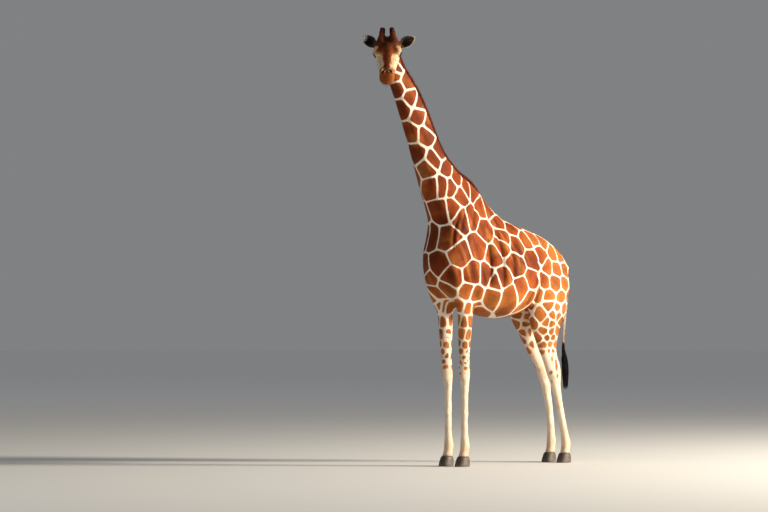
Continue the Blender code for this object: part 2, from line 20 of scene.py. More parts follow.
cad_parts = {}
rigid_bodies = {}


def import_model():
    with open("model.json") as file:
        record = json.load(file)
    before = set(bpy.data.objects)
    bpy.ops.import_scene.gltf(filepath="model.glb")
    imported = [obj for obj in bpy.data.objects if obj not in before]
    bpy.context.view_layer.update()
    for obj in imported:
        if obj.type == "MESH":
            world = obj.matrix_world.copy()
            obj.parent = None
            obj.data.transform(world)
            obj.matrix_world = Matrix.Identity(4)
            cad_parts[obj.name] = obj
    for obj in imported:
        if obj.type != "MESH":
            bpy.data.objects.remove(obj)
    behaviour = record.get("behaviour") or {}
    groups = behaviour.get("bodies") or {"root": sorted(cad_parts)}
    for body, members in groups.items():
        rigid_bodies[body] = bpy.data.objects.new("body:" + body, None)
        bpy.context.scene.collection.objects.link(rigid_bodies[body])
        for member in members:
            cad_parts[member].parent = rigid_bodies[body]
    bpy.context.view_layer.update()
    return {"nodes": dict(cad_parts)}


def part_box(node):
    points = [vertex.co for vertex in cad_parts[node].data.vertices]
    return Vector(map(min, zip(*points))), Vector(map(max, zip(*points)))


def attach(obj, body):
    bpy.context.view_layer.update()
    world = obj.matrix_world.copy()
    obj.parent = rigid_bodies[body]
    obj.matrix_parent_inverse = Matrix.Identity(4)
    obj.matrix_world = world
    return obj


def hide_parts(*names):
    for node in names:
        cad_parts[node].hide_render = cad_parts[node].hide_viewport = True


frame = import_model()
solids = frame["nodes"]
chance = np.random.default_rng(11)

# %% [markdown]
# ## Floor, light and camera
#
# A museum model stands on a pale sweep under one broad, warm lamp and a cool fill. The broad lamp is to
# the right, so the chest turns away into shade and the ribs and folds show. A long lens
# from far off keeps the tall body from leaning. Everything could be lit evenly instead, but then the
# coat would look like paint.

# %% Colour helper
def tint(red, green, blue):
    """A colour as it looks on screen, from 0 to 255, turned into the linear values a shader wants."""
    share = np.array([red, green, blue], dtype=float) / 255
    return np.where(share <= 0.04045, share / 12.92, ((share + 0.055) / 1.055) ** 2.4)


# %% Node helpers
def fill(tree, node, inputs):
    """Set a node's inputs to values, or link them from other nodes."""
    for name, value in inputs.items():
        if isinstance(value, bpy.types.NodeSocket):
            tree.links.new(value, node.inputs[name])
        else:
            node.inputs[name].default_value = value


def add_node(tree, kind, inputs=None, **settings):
    """A shader node with its settings made and its inputs filled."""
    made = tree.nodes.new("ShaderNode" + kind)
    for name, value in settings.items():
        setattr(made, name, value)
    fill(tree, made, inputs or {})
    return made


def new_material(name):
    """An empty node material with its Principled shader."""
    made = bpy.data.materials.new(name)
    made.use_nodes = True
    return made, made.node_tree, made.node_tree.nodes["Principled BSDF"]


def noisy(tree, scale, detail, place=None, **more):
    """An even random value over a surface."""
    where = {} if place is None else {"Vector": place}
    return add_node(tree, "TexNoise", {"Scale": scale, "Detail": detail, **more, **where}).outputs["Fac"]


def span(tree, value, low=0.0, high=1.0, to_low=0.0, to_high=1.0, shape="LINEAR"):
    """A value moved from one range to another."""
    inputs = {"Value": value, "From Min": low, "From Max": high, "To Min": to_low, "To Max": to_high}
    return add_node(tree, "MapRange", inputs, interpolation_type=shape).outputs["Result"]


def counted(tree, operation, first, second):
    """Two values added, subtracted or multiplied."""
    return add_node(tree, "Math", {0: first, 1: second}, operation=operation).outputs[0]


def scaled(tree, colour, by):
    """A colour made darker or lighter."""
    return add_node(tree, "VectorMath", {0: colour, "Scale": by}, operation="SCALE").outputs[0]


def mixed(tree, factor, *colours):
    """Two colours mixed by a factor."""
    first, second = (one if isinstance(one, bpy.types.NodeSocket) else (*one, 1.0) for one in colours)
    return add_node(tree, "Mix", {"Factor": factor, 6: first, 7: second}, data_type="RGBA").outputs[2]

# %% The floor
FAR_FLOOR = (0.96, 0.96, 0.96)          # whiter far off, so that it meets the sky without a hard line
paper, tree, shader = new_material("pale_paper")
place = add_node(tree, "TexCoord").outputs["Object"]
distance = add_node(tree, "VectorMath", {0: place}, operation="LENGTH").outputs["Value"]
near_floor = mixed(tree, noisy(tree, 1.5, 4.0), tint(214, 212, 208), tint(222, 220, 216))
sweep = mixed(tree, span(tree, distance, 8.0, 45.0, shape="SMOOTHSTEP"), near_floor, FAR_FLOOR)
fill(tree, shader, {"Base Color": sweep, "Roughness": 0.9})

bpy.ops.mesh.primitive_plane_add(size=600.0, location=(0.0, 0.0, 0.0))
floor = bpy.context.object
floor.name = "floor"
floor.data.materials.append(paper)

# %% Lamps and sky
VIEW_TURN = math.radians(47)            # how far round from the giraffe's front the viewer stands
TOWARD = Vector((math.sin(VIEW_TURN), -math.cos(VIEW_TURN), 0.0))
RIGHTWARD = Vector((math.cos(VIEW_TURN), math.sin(VIEW_TURN), 0.0))
BODY_MIDDLE = Vector((0.0, 0.0, 2.6))


def add_lamp(name, place, size, power, colour):
    """A square soft lamp that looks at the middle of the body."""
    lamp = bpy.data.lights.new(name, "AREA")
    lamp.size = size
    lamp.energy = power
    lamp.color = colour
    made = bpy.data.objects.new(name, lamp)
    made.location = place
    made.rotation_euler = (BODY_MIDDLE - place).to_track_quat("-Z", "Y").to_euler()
    bpy.context.scene.collection.objects.link(made)


add_lamp("key_lamp", BODY_MIDDLE + RIGHTWARD * 18.0 + TOWARD * 2.6 + Vector((0.0, 0.0, 4.8)), 3.2, 8800.0,
         (1.0, 0.91, 0.77))
add_lamp("fill_lamp", BODY_MIDDLE - RIGHTWARD * 9.0 + TOWARD * 8.0 + Vector((0.0, 0.0, 2.0)), 8.0, 100.0,
         (0.86, 0.92, 1.0))

sky = bpy.data.worlds.new("studio_sky")
sky.use_nodes = True
sky.node_tree.nodes["Background"].inputs["Color"].default_value = (0.86, 0.88, 0.91, 1.0)
sky.node_tree.nodes["Background"].inputs["Strength"].default_value = 0.25
bpy.context.scene.world = sky
bpy.context.scene.view_settings.view_transform = "Standard"

# %% The camera
VIEW_DISTANCE = 34.0
VIEW_HEIGHT = 1.42
VIEW_TILT = math.radians(1.62)
VIEW_ASIDE = 1.082                      # the giraffe stands to the right of the middle of the frame
WITHERS_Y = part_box("mane")[1].y - 0.008

lens = bpy.data.cameras.new("long_lens")
lens.sensor_width = 36.0
lens.lens = 139.9
lens.clip_end = 900.0
camera = bpy.data.objects.new("camera", lens)
camera.location = Vector((0.0, WITHERS_Y, VIEW_HEIGHT)) + TOWARD * VIEW_DISTANCE - RIGHTWARD * VIEW_ASIDE
camera.rotation_euler = (math.pi / 2 + VIEW_TILT, 0.0, VIEW_TURN)
bpy.context.scene.collection.objects.link(camera)
bpy.context.scene.camera = camera
print("camera at", tuple(round(v, 2) for v in camera.location))

# %% [markdown]
# ## One skin
#
# On the animal the skin runs without a break from the lips to the tail. The solids are parted by thin
# cuts, so they are joined and poured into one surface again with a voxel remesh, which closes any gap
# narrower than its grid.
#
# A head needs a finer grid than a flank. Rather than remesh twice and stitch, space itself is stretched
# around the head first, like looking through a lens, and relaxed afterwards: the grid comes out fine at
# the face, and coarsens smoothly down the neck.

# %% Which solids are flesh
LEGS = [f"leg_{pair}_{side}" for pair in ("front", "hind") for side in ("left", "right")]
EARS = ["ear_left", "ear_right"]
HORNS = ["ossicone_left", "ossicone_right"]
EYES = ["eye_left", "eye_right"]
FLESH = ["head", "neck", "trunk", *LEGS, "tail", *EARS]
PARTS = [*FLESH, *HORNS, *EYES]         # horns and eyes only fill their sockets in the skin


# %% The stretch around the head
GRID = 0.0166                           # size of the remesh's voxels, before the stretch
HEAD_MAGNIFIED = 3.2                    # how many times finer the grid is at the head
LENS_EDGE = 0.55                        # how far from the middle of the head the grid coarsens
head_middle = np.array((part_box("head")[0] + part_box("head")[1]) / 2)
reach = np.linspace(0.0, 8.0, 8001)
stretch = 1 + (HEAD_MAGNIFIED - 1) / (1 + np.exp((reach - LENS_EDGE) / 0.09))
stretched = np.concatenate([[0.0], np.cumsum((stretch[1:] + stretch[:-1]) / 2 * np.diff(reach))])


def through_lens(points, back=False):
    """Move points away from the middle of the head by the stretch, or back again."""
    away = points - head_middle
    distance = np.linalg.norm(away, axis=1) + 1e-9
    new = np.interp(distance, stretched, reach) if back else np.interp(distance, reach, stretched)
    return head_middle + away * (new / distance)[:, None]


# %% Mesh helpers
def read(items, name, width, kind=float):
    """One value of every point, edge or corner of a mesh, as rows."""
    flat = np.empty(len(items) * width, dtype=kind)
    items.foreach_get(name, flat)
    return flat.reshape(-1, width)


def points_of(mesh):
    """The mesh's points as rows of x, y, z."""
    return read(mesh.vertices, "co", 3)


def normals_of(mesh):
    """The direction that the surface faces at each point."""
    return read(mesh.vertex_normals, "vector", 3)


def edges_of(mesh):
    """The two ends of every edge."""
    return read(mesh.edges, "vertices", 2, np.int32)


def move_points(mesh, points):
    """Put the mesh's points in new places."""
    mesh.vertices.foreach_set("co", np.ascontiguousarray(points).ravel())
    mesh.update()


def dot(rows, others):
    """How far each row reaches along its partner."""
    return np.einsum("ij,ij->i", rows, others)


def unit(rows):
    """A direction, or rows of directions, made one long."""
    return rows / np.maximum(np.linalg.norm(rows, axis=-1, keepdims=True), 1e-9)


def evened(values, edges, passes, share=0.5):
    """Mix each point's value with its neighbours' so many times. The share may differ from point to point."""
    values = np.array(values, dtype=float)
    count = len(values)
    ends = np.concatenate([edges[:, 0], edges[:, 1]])
    others = np.concatenate([edges[:, 1], edges[:, 0]])
    neighbours = np.maximum(np.bincount(ends, minlength=count), 1)
    columns = values.reshape(count, -1)
    for _ in range(passes):
        for column in range(columns.shape[1]):
            mean = np.bincount(ends, weights=columns[others, column], minlength=count) / neighbours
            columns[:, column] += share * (mean - columns[:, column])
    return columns.reshape(values.shape)


def mesh_from(builder, name):
    """The mesh that a bmesh builder holds. The builder is then let go."""
    mesh = bpy.data.meshes.new(name)
    builder.to_mesh(mesh)
    builder.free()
    return mesh


def tree_of(mesh):
    """A mesh as a tree, for casting lines at it and finding its nearest place."""
    return BVHTree.FromPolygons(points_of(mesh).tolist(), [tuple(face.vertices) for face in mesh.polygons])


def add_piece(name, mesh, slot, *stands_for):
    """Put a mesh into the scene as a smooth piece that rides on the body and may stand for solids."""
    mesh.polygons.foreach_set("use_smooth", np.ones(len(mesh.polygons), dtype=bool))
    made = bpy.data.objects.new(name, mesh)
    bpy.context.scene.collection.objects.link(made)
    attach(made, "root")
    if stands_for:
        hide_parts(*stands_for)
    return made


def with_modifier(mesh, kind, **settings):
    """What a modifier makes of a mesh."""
    helper = bpy.data.objects.new("helper", mesh)
    bpy.context.scene.collection.objects.link(helper)
    step = helper.modifiers.new("step", kind)
    for name, value in settings.items():
        setattr(step, name, value)
    bpy.context.view_layer.update()
    graph = bpy.context.evaluated_depsgraph_get()
    made = bpy.data.meshes.new_from_object(helper.evaluated_get(graph), depsgraph=graph)
    bpy.data.objects.remove(helper)
    return made

# %% Pour the solids into one surface
LONGEST_EDGE = 0.05                     # straight edges are split so that they can bend with the stretch


def welded(name, rounded=False):
    """A solid as a closed mesh. A rounded one is smoothed by subdivision, as the thin ears need."""
    builder = bmesh.new()
    builder.from_mesh(solids[name].data)
    bmesh.ops.remove_doubles(builder, verts=builder.verts, dist=1e-6)
    if rounded:
        bmesh.ops.join_triangles(builder, faces=builder.faces, angle_face_threshold=0.7,
                                 angle_shape_threshold=0.7)
    mesh = mesh_from(builder, name)
    return with_modifier(mesh, "SUBSURF", levels=2, render_levels=2) if rounded else mesh


builder = bmesh.new()
for name in PARTS:
    builder.from_mesh(welded(name, rounded=name in EARS))
for _ in range(3):
    long_edges = [edge for edge in builder.edges if edge.calc_length() > LONGEST_EDGE]
    bmesh.ops.subdivide_edges(builder, edges=long_edges, cuts=1)
bmesh.ops.triangulate(builder, faces=builder.faces)
poured = mesh_from(builder, "poured")
move_points(poured, through_lens(points_of(poured)))
skin = with_modifier(poured, "REMESH", mode="VOXEL", voxel_size=GRID)
skin.name = "skin"
move_points(skin, through_lens(points_of(skin), back=True))
print("skin:", len(skin.polygons), "faces")

# %% Which solid each point of the skin belongs to
corners, faces, owner = [], [], []
for number, name in enumerate(PARTS):
    mesh = solids[name].data
    faces += [tuple(len(corners) + index for index in face.vertices) for face in mesh.polygons]
    owner += [number] * len(mesh.polygons)
    corners += points_of(mesh).tolist()
solid_tree = BVHTree.FromPolygons(corners, faces)


def owners(points):
    """The number of the solid nearest to each point."""
    return np.array([owner[solid_tree.find_nearest(point)[2]] for point in points])


def belongs(names, numbers):
    """Which points lie on any of the named solids."""
    return np.isin(numbers, [PARTS.index(name) for name in names])


def share_on(names, passes):
    """How much each point of the skin belongs to the named solids, evened where they meet."""
    return evened(belongs(names, part_of).astype(float), edges, passes)


def by_part(values, other, passes):
    """A value for each solid, spread over the skin's points and evened where solids meet."""
    each = np.array([values.get(name, other) for name in PARTS], dtype=float)
    return evened(each[part_of], edges, passes)


part_of = owners(points_of(skin))
print("points on the head:", int(belongs(["head"], part_of).sum()))

# %% Soft steps
def ramp(values, low, high):
    """0 below low, 1 above high, with soft ends between."""
    share = np.clip((values - low) / (high - low), 0, 1)
    return share * share * (3 - 2 * share)


def falloff(distance, width):
    """How strongly a stroke works at some distance: fully on its path, not at all three widths away."""
    return np.exp(-(distance / width) ** 2)


def rough(points, scale, seed):
    """A smooth random value from about -1 to 1 at each point."""
    shift = Vector((seed * 7.3, seed * 1.9, seed * 4.1))
    return np.array([noise.noise(Vector(point) / scale + shift) for point in points])


# %% Smooth the facets away and sink the skin to the roots of the hair
# The share of each pass: flanks have the widest facets, ears and tail the finest shapes.
EVENING = {"head": 0.22, "neck": 0.5, "trunk": 0.5, "tail": 0.06, "ear_left": 0.05, "ear_right": 0.05}
COAT_DEPTH = {"head": 0.0015, "neck": 0.0030, "trunk": 0.0035, "tail": 0.0010, "ear_left": 0.0006,
              "ear_right": 0.0006, "ossicone_left": 0.0060, "ossicone_right": 0.0060}
EVENING_PASSES = 42
DEPTH_PASSES = 74

edges = edges_of(skin)
raw = points_of(skin)
smooth = evened(raw, edges, EVENING_PASSES, by_part(EVENING, 0.16, 6))
move_points(skin, smooth)
facing = normals_of(skin)
sunk = evened(dot(smooth - raw, facing), edges, DEPTH_PASSES)
move_points(skin, smooth - facing * (sunk + by_part(COAT_DEPTH, 0.0022, 24))[:, None])

# Where the skull meets the neck the crease between the two solids is filled, as skin bridges it.
points, facing = points_of(skin), normals_of(skin)
on_skull = share_on(["head"], 120)
joint = ramp(4 * on_skull * (1 - on_skull), 0.03, 0.35)
filled = dot(evened(points, edges, 260) - points, facing).clip(0.0, 0.035)
move_points(skin, points + facing * (evened(filled, edges, 10) * joint)[:, None])
move_points(skin, evened(points_of(skin), edges, 24, 0.5 * joint))
print("crease behind the skull filled by at most", round(float((filled * joint).max()) * 1000, 1), "mm")
print("smoothing had sunk the surface by at most", round(float(-sunk.min()) * 1000, 1), "mm")

# %% [markdown]
# ## A frame for the head
#
# Lids, nostrils and lips are easier to place along the skull than in the room. The line through the two
# eyes gives the sideways direction, and the pitch of the face gives the direction along the skull, so
# `along`, `side` and `up` below are metres from the back of the skull.

# %% The head's own directions
HEAD_TURN = math.radians(45)
HEAD_DROP = math.radians(48)
EYE_ALONG = 0.258
EYE_UP = 0.026
EYE_SLANT = 0.30                        # how far the eye tilts down to the tear duct, in radians

eye_middles = [np.array((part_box(name)[0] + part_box(name)[1]) / 2) for name in EYES]
head_side = eye_middles[0] - eye_middles[1]
EYE_ASIDE = float(np.linalg.norm(head_side) / 2)
head_side = unit(head_side)
head_along = np.array([math.cos(HEAD_DROP) * math.sin(HEAD_TURN),
                       -math.cos(HEAD_DROP) * math.cos(HEAD_TURN), -math.sin(HEAD_DROP)])
head_along = unit(head_along - head_side * head_along.dot(head_side))
head_up = np.cross(head_along, head_side)
head_axes = np.array([head_along, head_side, head_up])
poll = (eye_middles[0] + eye_middles[1]) / 2 - head_along * EYE_ALONG - head_up * EYE_UP


def in_head(points):
    """Points of the room as along, side and up in the head."""
    return (points - poll) @ head_axes.T


def in_room(points):
    """Points of the head as x, y and z."""
    return poll + np.asarray(points, dtype=float) @ head_axes


print("eyes are", round(2 * EYE_ASIDE, 3), "m apart; the poll is at", poll.round(3))

# %% [markdown]
# ## Finer grid where the face needs it
#
# Lids and nostrils are a few millimetres thick, so the skin is subdivided around them, and once on the
# lower legs and tail. Faces elsewhere stay as they are: a flank needs no millimetre grid.

# %% Split the faces around small features
EYE_RADIUS = float((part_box("eye_left")[1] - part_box("eye_left")[0]).z / 2)
NOSTRIL = np.array([0.548, 0.041, 0.044])
MOUTH = [(0.650, 0.000, -0.060), (0.630, 0.040, -0.060), (0.590, 0.068, -0.056), (0.535, 0.078, -0.048),
         (0.485, 0.084, -0.036)]
KNEE_TOP = 1.22                         # below this height the legs get a finer grid


def mirrored(points, side):
    """Points of the head on its left (1) or its right (-1)."""
    return np.asarray(points, dtype=float) * np.array([1.0, side, 1.0])


def to_path(points, path):
    """How far points are from a line of straight stretches, and how far along it they lie, from 0 to 1."""
    path = np.asarray(path, dtype=float)
    nearest = np.full(len(points), np.inf)
    passed = np.zeros(len(points))
    lengths = np.linalg.norm(np.diff(path, axis=0), axis=1)
    starts = np.concatenate([[0.0], np.cumsum(lengths)])
    for index, (start, end) in enumerate(zip(path, path[1:])):
        run = end - start
        share = np.clip((points - start) @ run / max(run @ run, 1e-12), 0, 1)
        distance = np.linalg.norm(points - start - share[:, None] * run, axis=1)
        closer = distance < nearest
        nearest = np.where(closer, distance, nearest)
        passed = np.where(closer, (starts[index] + share * lengths[index]) / starts[-1], passed)
    return nearest, passed


def split_faces(mesh, chosen):
    """Cut every edge whose two ends are chosen in half."""
    builder = bmesh.new()
    builder.from_mesh(mesh)
    cut = [edge for edge in builder.edges if chosen[edge.verts[0].index] and chosen[edge.verts[1].index]]
    bmesh.ops.subdivide_edges(builder, edges=cut, cuts=1, use_grid_fill=True)
    builder.to_mesh(mesh)
    builder.free()


# How far from the eyes, the nostrils and the mouth the faces are split: twice, the second time nearer.
SPLIT_REACHES = [(0.062, 0.045, 0.026), (0.046, 0.030, 0.010)]
for split, (reach_of_eye, reach_of_nose, reach_of_mouth) in enumerate(SPLIT_REACHES):
    points = points_of(skin)
    head_points = in_head(points)
    chosen = np.zeros(len(points), dtype=bool)
    for side, middle in zip((1, -1), eye_middles):
        chosen |= np.linalg.norm(points - middle, axis=1) < reach_of_eye
        chosen |= np.linalg.norm(head_points - mirrored(NOSTRIL, side), axis=1) < reach_of_nose
        chosen |= to_path(head_points, mirrored(MOUTH, side))[0] < reach_of_mouth
    if split == 0:
        chosen |= points[:, 2] < KNEE_TOP
        chosen |= belongs(["tail"], owners(points))
    split_faces(skin, chosen)
print("skin with its fine places:", len(skin.polygons), "faces")
part_of = owners(points_of(skin))
edges = edges_of(skin)

# %% [markdown]
# ## Muscles, folds and bones under the skin
#
# The real hide slides over shoulder blades and ribs, and hangs in vertical folds behind the shoulder.
# Each such form is a stroke: a path over the body, a width and a height. A stroke lifts the skin along
# its own facing, most on the path and less away from it, which is what a sculptor's soft brush does.

# %% Strokes seen from the side of the body
# Each stroke: places (y, z) along it, how wide it is and how high it stands.
BODY_STROKES = {
    "edge of the shoulder blade": ([(0.02, 2.98), (-0.25, 2.62), (-0.42, 2.30)], 0.050, 0.010),
    "hollow behind the shoulder": ([(0.16, 2.82), (0.02, 2.45), (-0.03, 2.12)], 0.045, -0.012),
    "upper arm": ([(-0.14, 2.42), (-0.24, 2.16), (-0.28, 1.99)], 0.085, 0.012),
    "point of the elbow": ([(-0.13, 1.95), (-0.15, 1.88)], 0.040, 0.012),
    "fold over the blade": ([(-0.10, 2.92), (-0.22, 2.64)], 0.017, -0.018),
    "fold at the neck's base": ([(-0.25, 2.96), (-0.36, 2.72), (-0.40, 2.58)], 0.017, -0.020),
    "second fold at the neck's base": ([(-0.38, 2.86), (-0.46, 2.66), (-0.50, 2.46)], 0.017, -0.017),
    "first fold behind the arm": ([(0.03, 2.56), (0.02, 2.33), (-0.02, 2.06)], 0.018, -0.024),
    "roll beside it": ([(0.10, 2.58), (0.09, 2.33), (0.05, 2.08)], 0.028, 0.013),
    "second fold behind the arm": ([(0.22, 2.70), (0.20, 2.40), (0.16, 2.02)], 0.020, -0.026),
    "roll behind the second fold": ([(0.29, 2.64), (0.27, 2.40), (0.23, 2.08)], 0.026, 0.012),
    "third fold": ([(0.36, 2.48), (0.35, 2.28), (0.31, 2.08)], 0.016, -0.017),
    "fourth fold": ([(0.46, 2.42), (0.45, 2.28), (0.42, 2.14)], 0.014, -0.010),
    "hip bone": ([(0.80, 2.60), (0.92, 2.53)], 0.055, 0.012),
    "hollow of the flank": ([(0.66, 2.50), (0.70, 2.36)], 0.080, -0.014),
    "fold of the flank": ([(0.79, 2.32), (0.71, 2.06), (0.60, 1.84)], 0.022, -0.028),
    "roll before the fold": ([(0.72, 2.30), (0.64, 2.06), (0.54, 1.86)], 0.035, 0.008),
    "front of the thigh": ([(0.88, 2.24), (0.83, 2.04), (0.79, 1.80)], 0.018, -0.016),
    "groove down the thigh": ([(1.19, 2.30), (1.17, 1.98), (1.16, 1.68)], 0.028, -0.008),
    "second groove down the thigh": ([(1.33, 2.20), (1.31, 1.95), (1.27, 1.70)], 0.022, -0.006),
    "pin bone": ([(1.42, 2.30), (1.44, 2.24)], 0.045, 0.010),
    "jugular groove": ([(-0.62, 2.92), (-0.80, 3.35), (-1.02, 3.85), (-1.24, 4.30)], 0.018, -0.007),
    "long muscle of the neck": ([(-0.46, 2.98), (-0.67, 3.42), (-0.89, 3.88), (-1.12, 4.38)], 0.034, 0.006),
    "groove under the mane": ([(-0.25, 3.15), (-0.46, 3.48), (-0.68, 3.88), (-0.94, 4.36)], 0.020, -0.006),
}

points = points_of(skin)
facing = normals_of(skin)
on_body = belongs(["trunk", "neck", *LEGS], part_of) & (np.abs(points[:, 0]) > 0.02)
turned_aside = np.clip(np.abs(facing[:, 0]) * 1.6, 0, 1)
# Fine creases run down the loose hide between the base of the neck and the flank.
slant = np.column_stack([points[:, 0] * 0.5, points[:, 1] + 0.30 * points[:, 2], 0.16 * points[:, 2]])
creased = rough(slant, 0.062, 21)
loose = ramp(points[:, 2], 1.98, 2.12) * ramp(-points[:, 2], -3.0, -2.7) * ramp(-points[:, 1], -0.66, -0.50)
loose *= np.where(on_body, turned_aside, 0)
lift = 0.0060 * creased * loose
fold_shade = 0.80 * ramp(-creased, 0.10, 0.50) * loose
fold_light = ramp(creased, 0.15, 0.50) * loose
for path, width, height in BODY_STROKES.values():
    distance, passed = to_path(points[:, 1:], path)
    tapered = np.sin(np.pi * np.clip(0.12 + 0.76 * passed, 0, 1)) ** 0.5
    strength = np.where(on_body, falloff(distance, width) * turned_aside * tapered, 0)
    lift += height * strength
    if height < -0.009 and width < 0.025:
        fold_shade = np.maximum(fold_shade, strength * min(1.0, -height / 0.022))
move_points(skin, points + facing * lift[:, None])
print("strokes on the body:", len(BODY_STROKES))

# %% Legs: the middle line of each, measured from its solid
def middle_line(name, steps=40):
    """The middle of a leg at a row of heights: columns of z, x and y."""
    mesh = points_of(solids[name].data)
    heights = np.linspace(mesh[:, 2].min() + 0.01, mesh[:, 2].max() - 0.01, steps)
    rows = []
    for height in heights:
        near = mesh[np.abs(mesh[:, 2] - height) < 0.07]
        if len(near) > 5:
            rows.append((height, *((near.min(0) + near.max(0)) / 2)[:2]))
    return np.array(rows)


leg_lines = {name: middle_line(name) for name in LEGS}


def around_leg(name, points):
    """Where points lie round a leg: the angle from its front towards its outer side, and the distance."""
    line = leg_lines[name]
    outward = 1.0 if name.endswith("left") else -1.0
    x = (points[:, 0] - np.interp(points[:, 2], line[:, 0], line[:, 1])) * outward
    y = points[:, 1] - np.interp(points[:, 2], line[:, 0], line[:, 2])
    return np.arctan2(x, -y), np.hypot(x, y)


# %% Strokes on the legs
# Each stroke: heights from and to, angle from the front in degrees, width and height of the form.
FRONT_LEG_STROKES = {
    "knee cap": (1.10, 1.00, 0, 0.040, 0.010),
    "hollow over the knee": (1.20, 1.14, 0, 0.030, -0.005),
    "hollow under the knee": (0.95, 0.92, 0, 0.028, -0.006),
    "bone behind the knee": (1.10, 1.06, 180, 0.025, 0.007),
    "groove beside the tendon": (0.88, 0.36, 122, 0.011, -0.006),
    "tendon": (0.90, 0.34, 180, 0.014, 0.004),
    "muscle of the forearm": (1.62, 1.32, 30, 0.050, 0.006),
    "groove of the forearm": (1.66, 1.28, 95, 0.020, -0.006),
    "fetlock": (0.25, 0.21, 180, 0.030, 0.006),
    "hollow of the pastern": (0.16, 0.13, 180, 0.022, -0.006),
}
HIND_LEG_STROKES = {
    "point of the hock": (1.16, 1.08, 180, 0.026, 0.008),
    "hollow before the tendon": (1.42, 1.18, 125, 0.030, -0.014),
    "great tendon": (1.50, 1.16, 180, 0.020, 0.005),
    "inner bone of the hock": (1.06, 1.00, 60, 0.026, 0.005),
    "front of the hock": (1.02, 0.98, 0, 0.030, 0.005),
    "groove beside the tendon": (0.90, 0.36, 122, 0.011, -0.006),
    "tendon": (0.92, 0.34, 180, 0.014, 0.004),
    "fetlock": (0.25, 0.21, 180, 0.030, 0.006),
    "hollow of the pastern": (0.16, 0.13, 180, 0.022, -0.006),
}
points = points_of(skin)
facing = normals_of(skin)
lift = np.zeros(len(points))
for name in LEGS:
    mine = belongs([name], part_of)
    angle, radius = around_leg(name, points[mine])
    strokes = FRONT_LEG_STROKES if "front" in name else HIND_LEG_STROKES
    for high, low, turn, width, height in strokes.values():
        above = np.maximum(points[mine, 2] - high, 0) + np.maximum(low - points[mine, 2], 0)
        for turned in {turn, -turn} if turn not in (0, 180) else {turn}:
            apart = (angle - math.radians(turned) + np.pi) % (2 * np.pi) - np.pi
            lift[mine] += height * falloff(np.hypot(above, apart * radius), width)
move_points(skin, points + facing * evened(lift, edges, 3)[:, None])
print("strokes on each leg:", len(FRONT_LEG_STROKES), len(HIND_LEG_STROKES))

# %% [markdown]
# ## The face
#
# The brow hangs over the eye, the nostrils are slits with a fleshy rim, and the mouth runs back under
# the muzzle. These are strokes again, laid out along the skull and made on both sides at once.

# %% Brow, nostrils, lips, jaw and cheek
# Each stroke: places (along, side, up) on the left of the head, its width and its height.
FACE_STROKES = {
    "brow": ([(0.185, 0.118, 0.062), (0.232, 0.132, 0.062), (0.275, 0.120, 0.054)], 0.022, 0.019),
    "nostril": ([(0.528, 0.030, 0.056), (0.548, 0.041, 0.046), (0.568, 0.046, 0.030)], 0.0085, -0.026),
    "rim of the nostril": ([(0.512, 0.034, 0.058), (0.530, 0.052, 0.046), (0.560, 0.062, 0.028)],
                           0.010, 0.007),
    "inner rim": ([(0.530, 0.018, 0.058), (0.556, 0.026, 0.050), (0.578, 0.032, 0.034)], 0.008, 0.004),
    "mouth": (MOUTH, 0.0055, -0.0105),
    "upper lip": ([(0.648, 0.0, -0.040), (0.625, 0.045, -0.040), (0.575, 0.070, -0.036),
                   (0.520, 0.078, -0.028)], 0.014, 0.006),
    "lower lip": ([(0.640, 0.0, -0.078), (0.615, 0.042, -0.078), (0.560, 0.064, -0.074)], 0.014, 0.006),
    "chin": ([(0.610, 0.0, -0.100), (0.570, 0.0, -0.104)], 0.028, 0.008),
    "groove of the upper lip": ([(0.645, 0.0, -0.005), (0.655, 0.0, -0.040)], 0.006, -0.003),
    "cheek ridge": ([(0.30, 0.118, -0.012), (0.38, 0.100, -0.022), (0.46, 0.082, -0.022)], 0.014, 0.006),
    "hollow of the cheek": ([(0.34, 0.100, -0.050), (0.42, 0.088, -0.052)], 0.030, -0.008),
    "round of the jaw": ([(0.10, 0.110, -0.090), (0.16, 0.112, -0.110), (0.23, 0.100, -0.100)], 0.034, 0.010),
    "hollow behind the jaw": ([(0.035, 0.105, -0.080), (0.060, 0.105, -0.130)], 0.022, -0.010),
    "edge of the jaw": ([(0.28, 0.082, -0.100), (0.40, 0.066, -0.088), (0.50, 0.055, -0.085)], 0.016, 0.005),
    "hollow over the eye": ([(0.150, 0.108, 0.078), (0.172, 0.112, 0.074)], 0.018, -0.007),
    "bridge of the nose": ([(0.330, 0.0, 0.072), (0.440, 0.0, 0.060)], 0.030, 0.004),
    "side of the bridge": ([(0.320, 0.062, 0.050), (0.420, 0.052, 0.038), (0.490, 0.046, 0.036)],
                           0.020, -0.005),
    "forehead boss": ([(0.205, 0.0, 0.108), (0.240, 0.0, 0.100)], 0.045, 0.006),
    "crown between the horns": ([(0.040, 0.0, 0.120), (-0.020, 0.0, 0.120), (-0.080, 0.0, 0.090)],
                                0.055, -0.046),
}
points = points_of(skin)
facing = normals_of(skin)
head_points = in_head(points)
on_head = belongs(["head", *EYES], part_of)
lift = np.zeros(len(points))
for path, width, height in FACE_STROKES.values():
    middle_path = all(place[1] == 0 for place in path)
    for side in (1, -1):
        distance, passed = to_path(head_points, mirrored(path, side))
        lift += np.where(on_head, height * falloff(distance, width) * (0.5 if middle_path else 1.0), 0)
move_points(skin, points + facing * evened(lift, edges, 2)[:, None])
print("strokes on the face:", len(FACE_STROKES))

# %% [markdown]
# ## Lids
#
# An eye sits in lids as thin as a coin. They could be pieces of their own, but then a seam would show.
# So the skin is seen as a height over the plane of the eye: it is raised onto a ball a little larger
# than the eyeball, and inside an almond it drops behind the eye. What is left between is the lid.

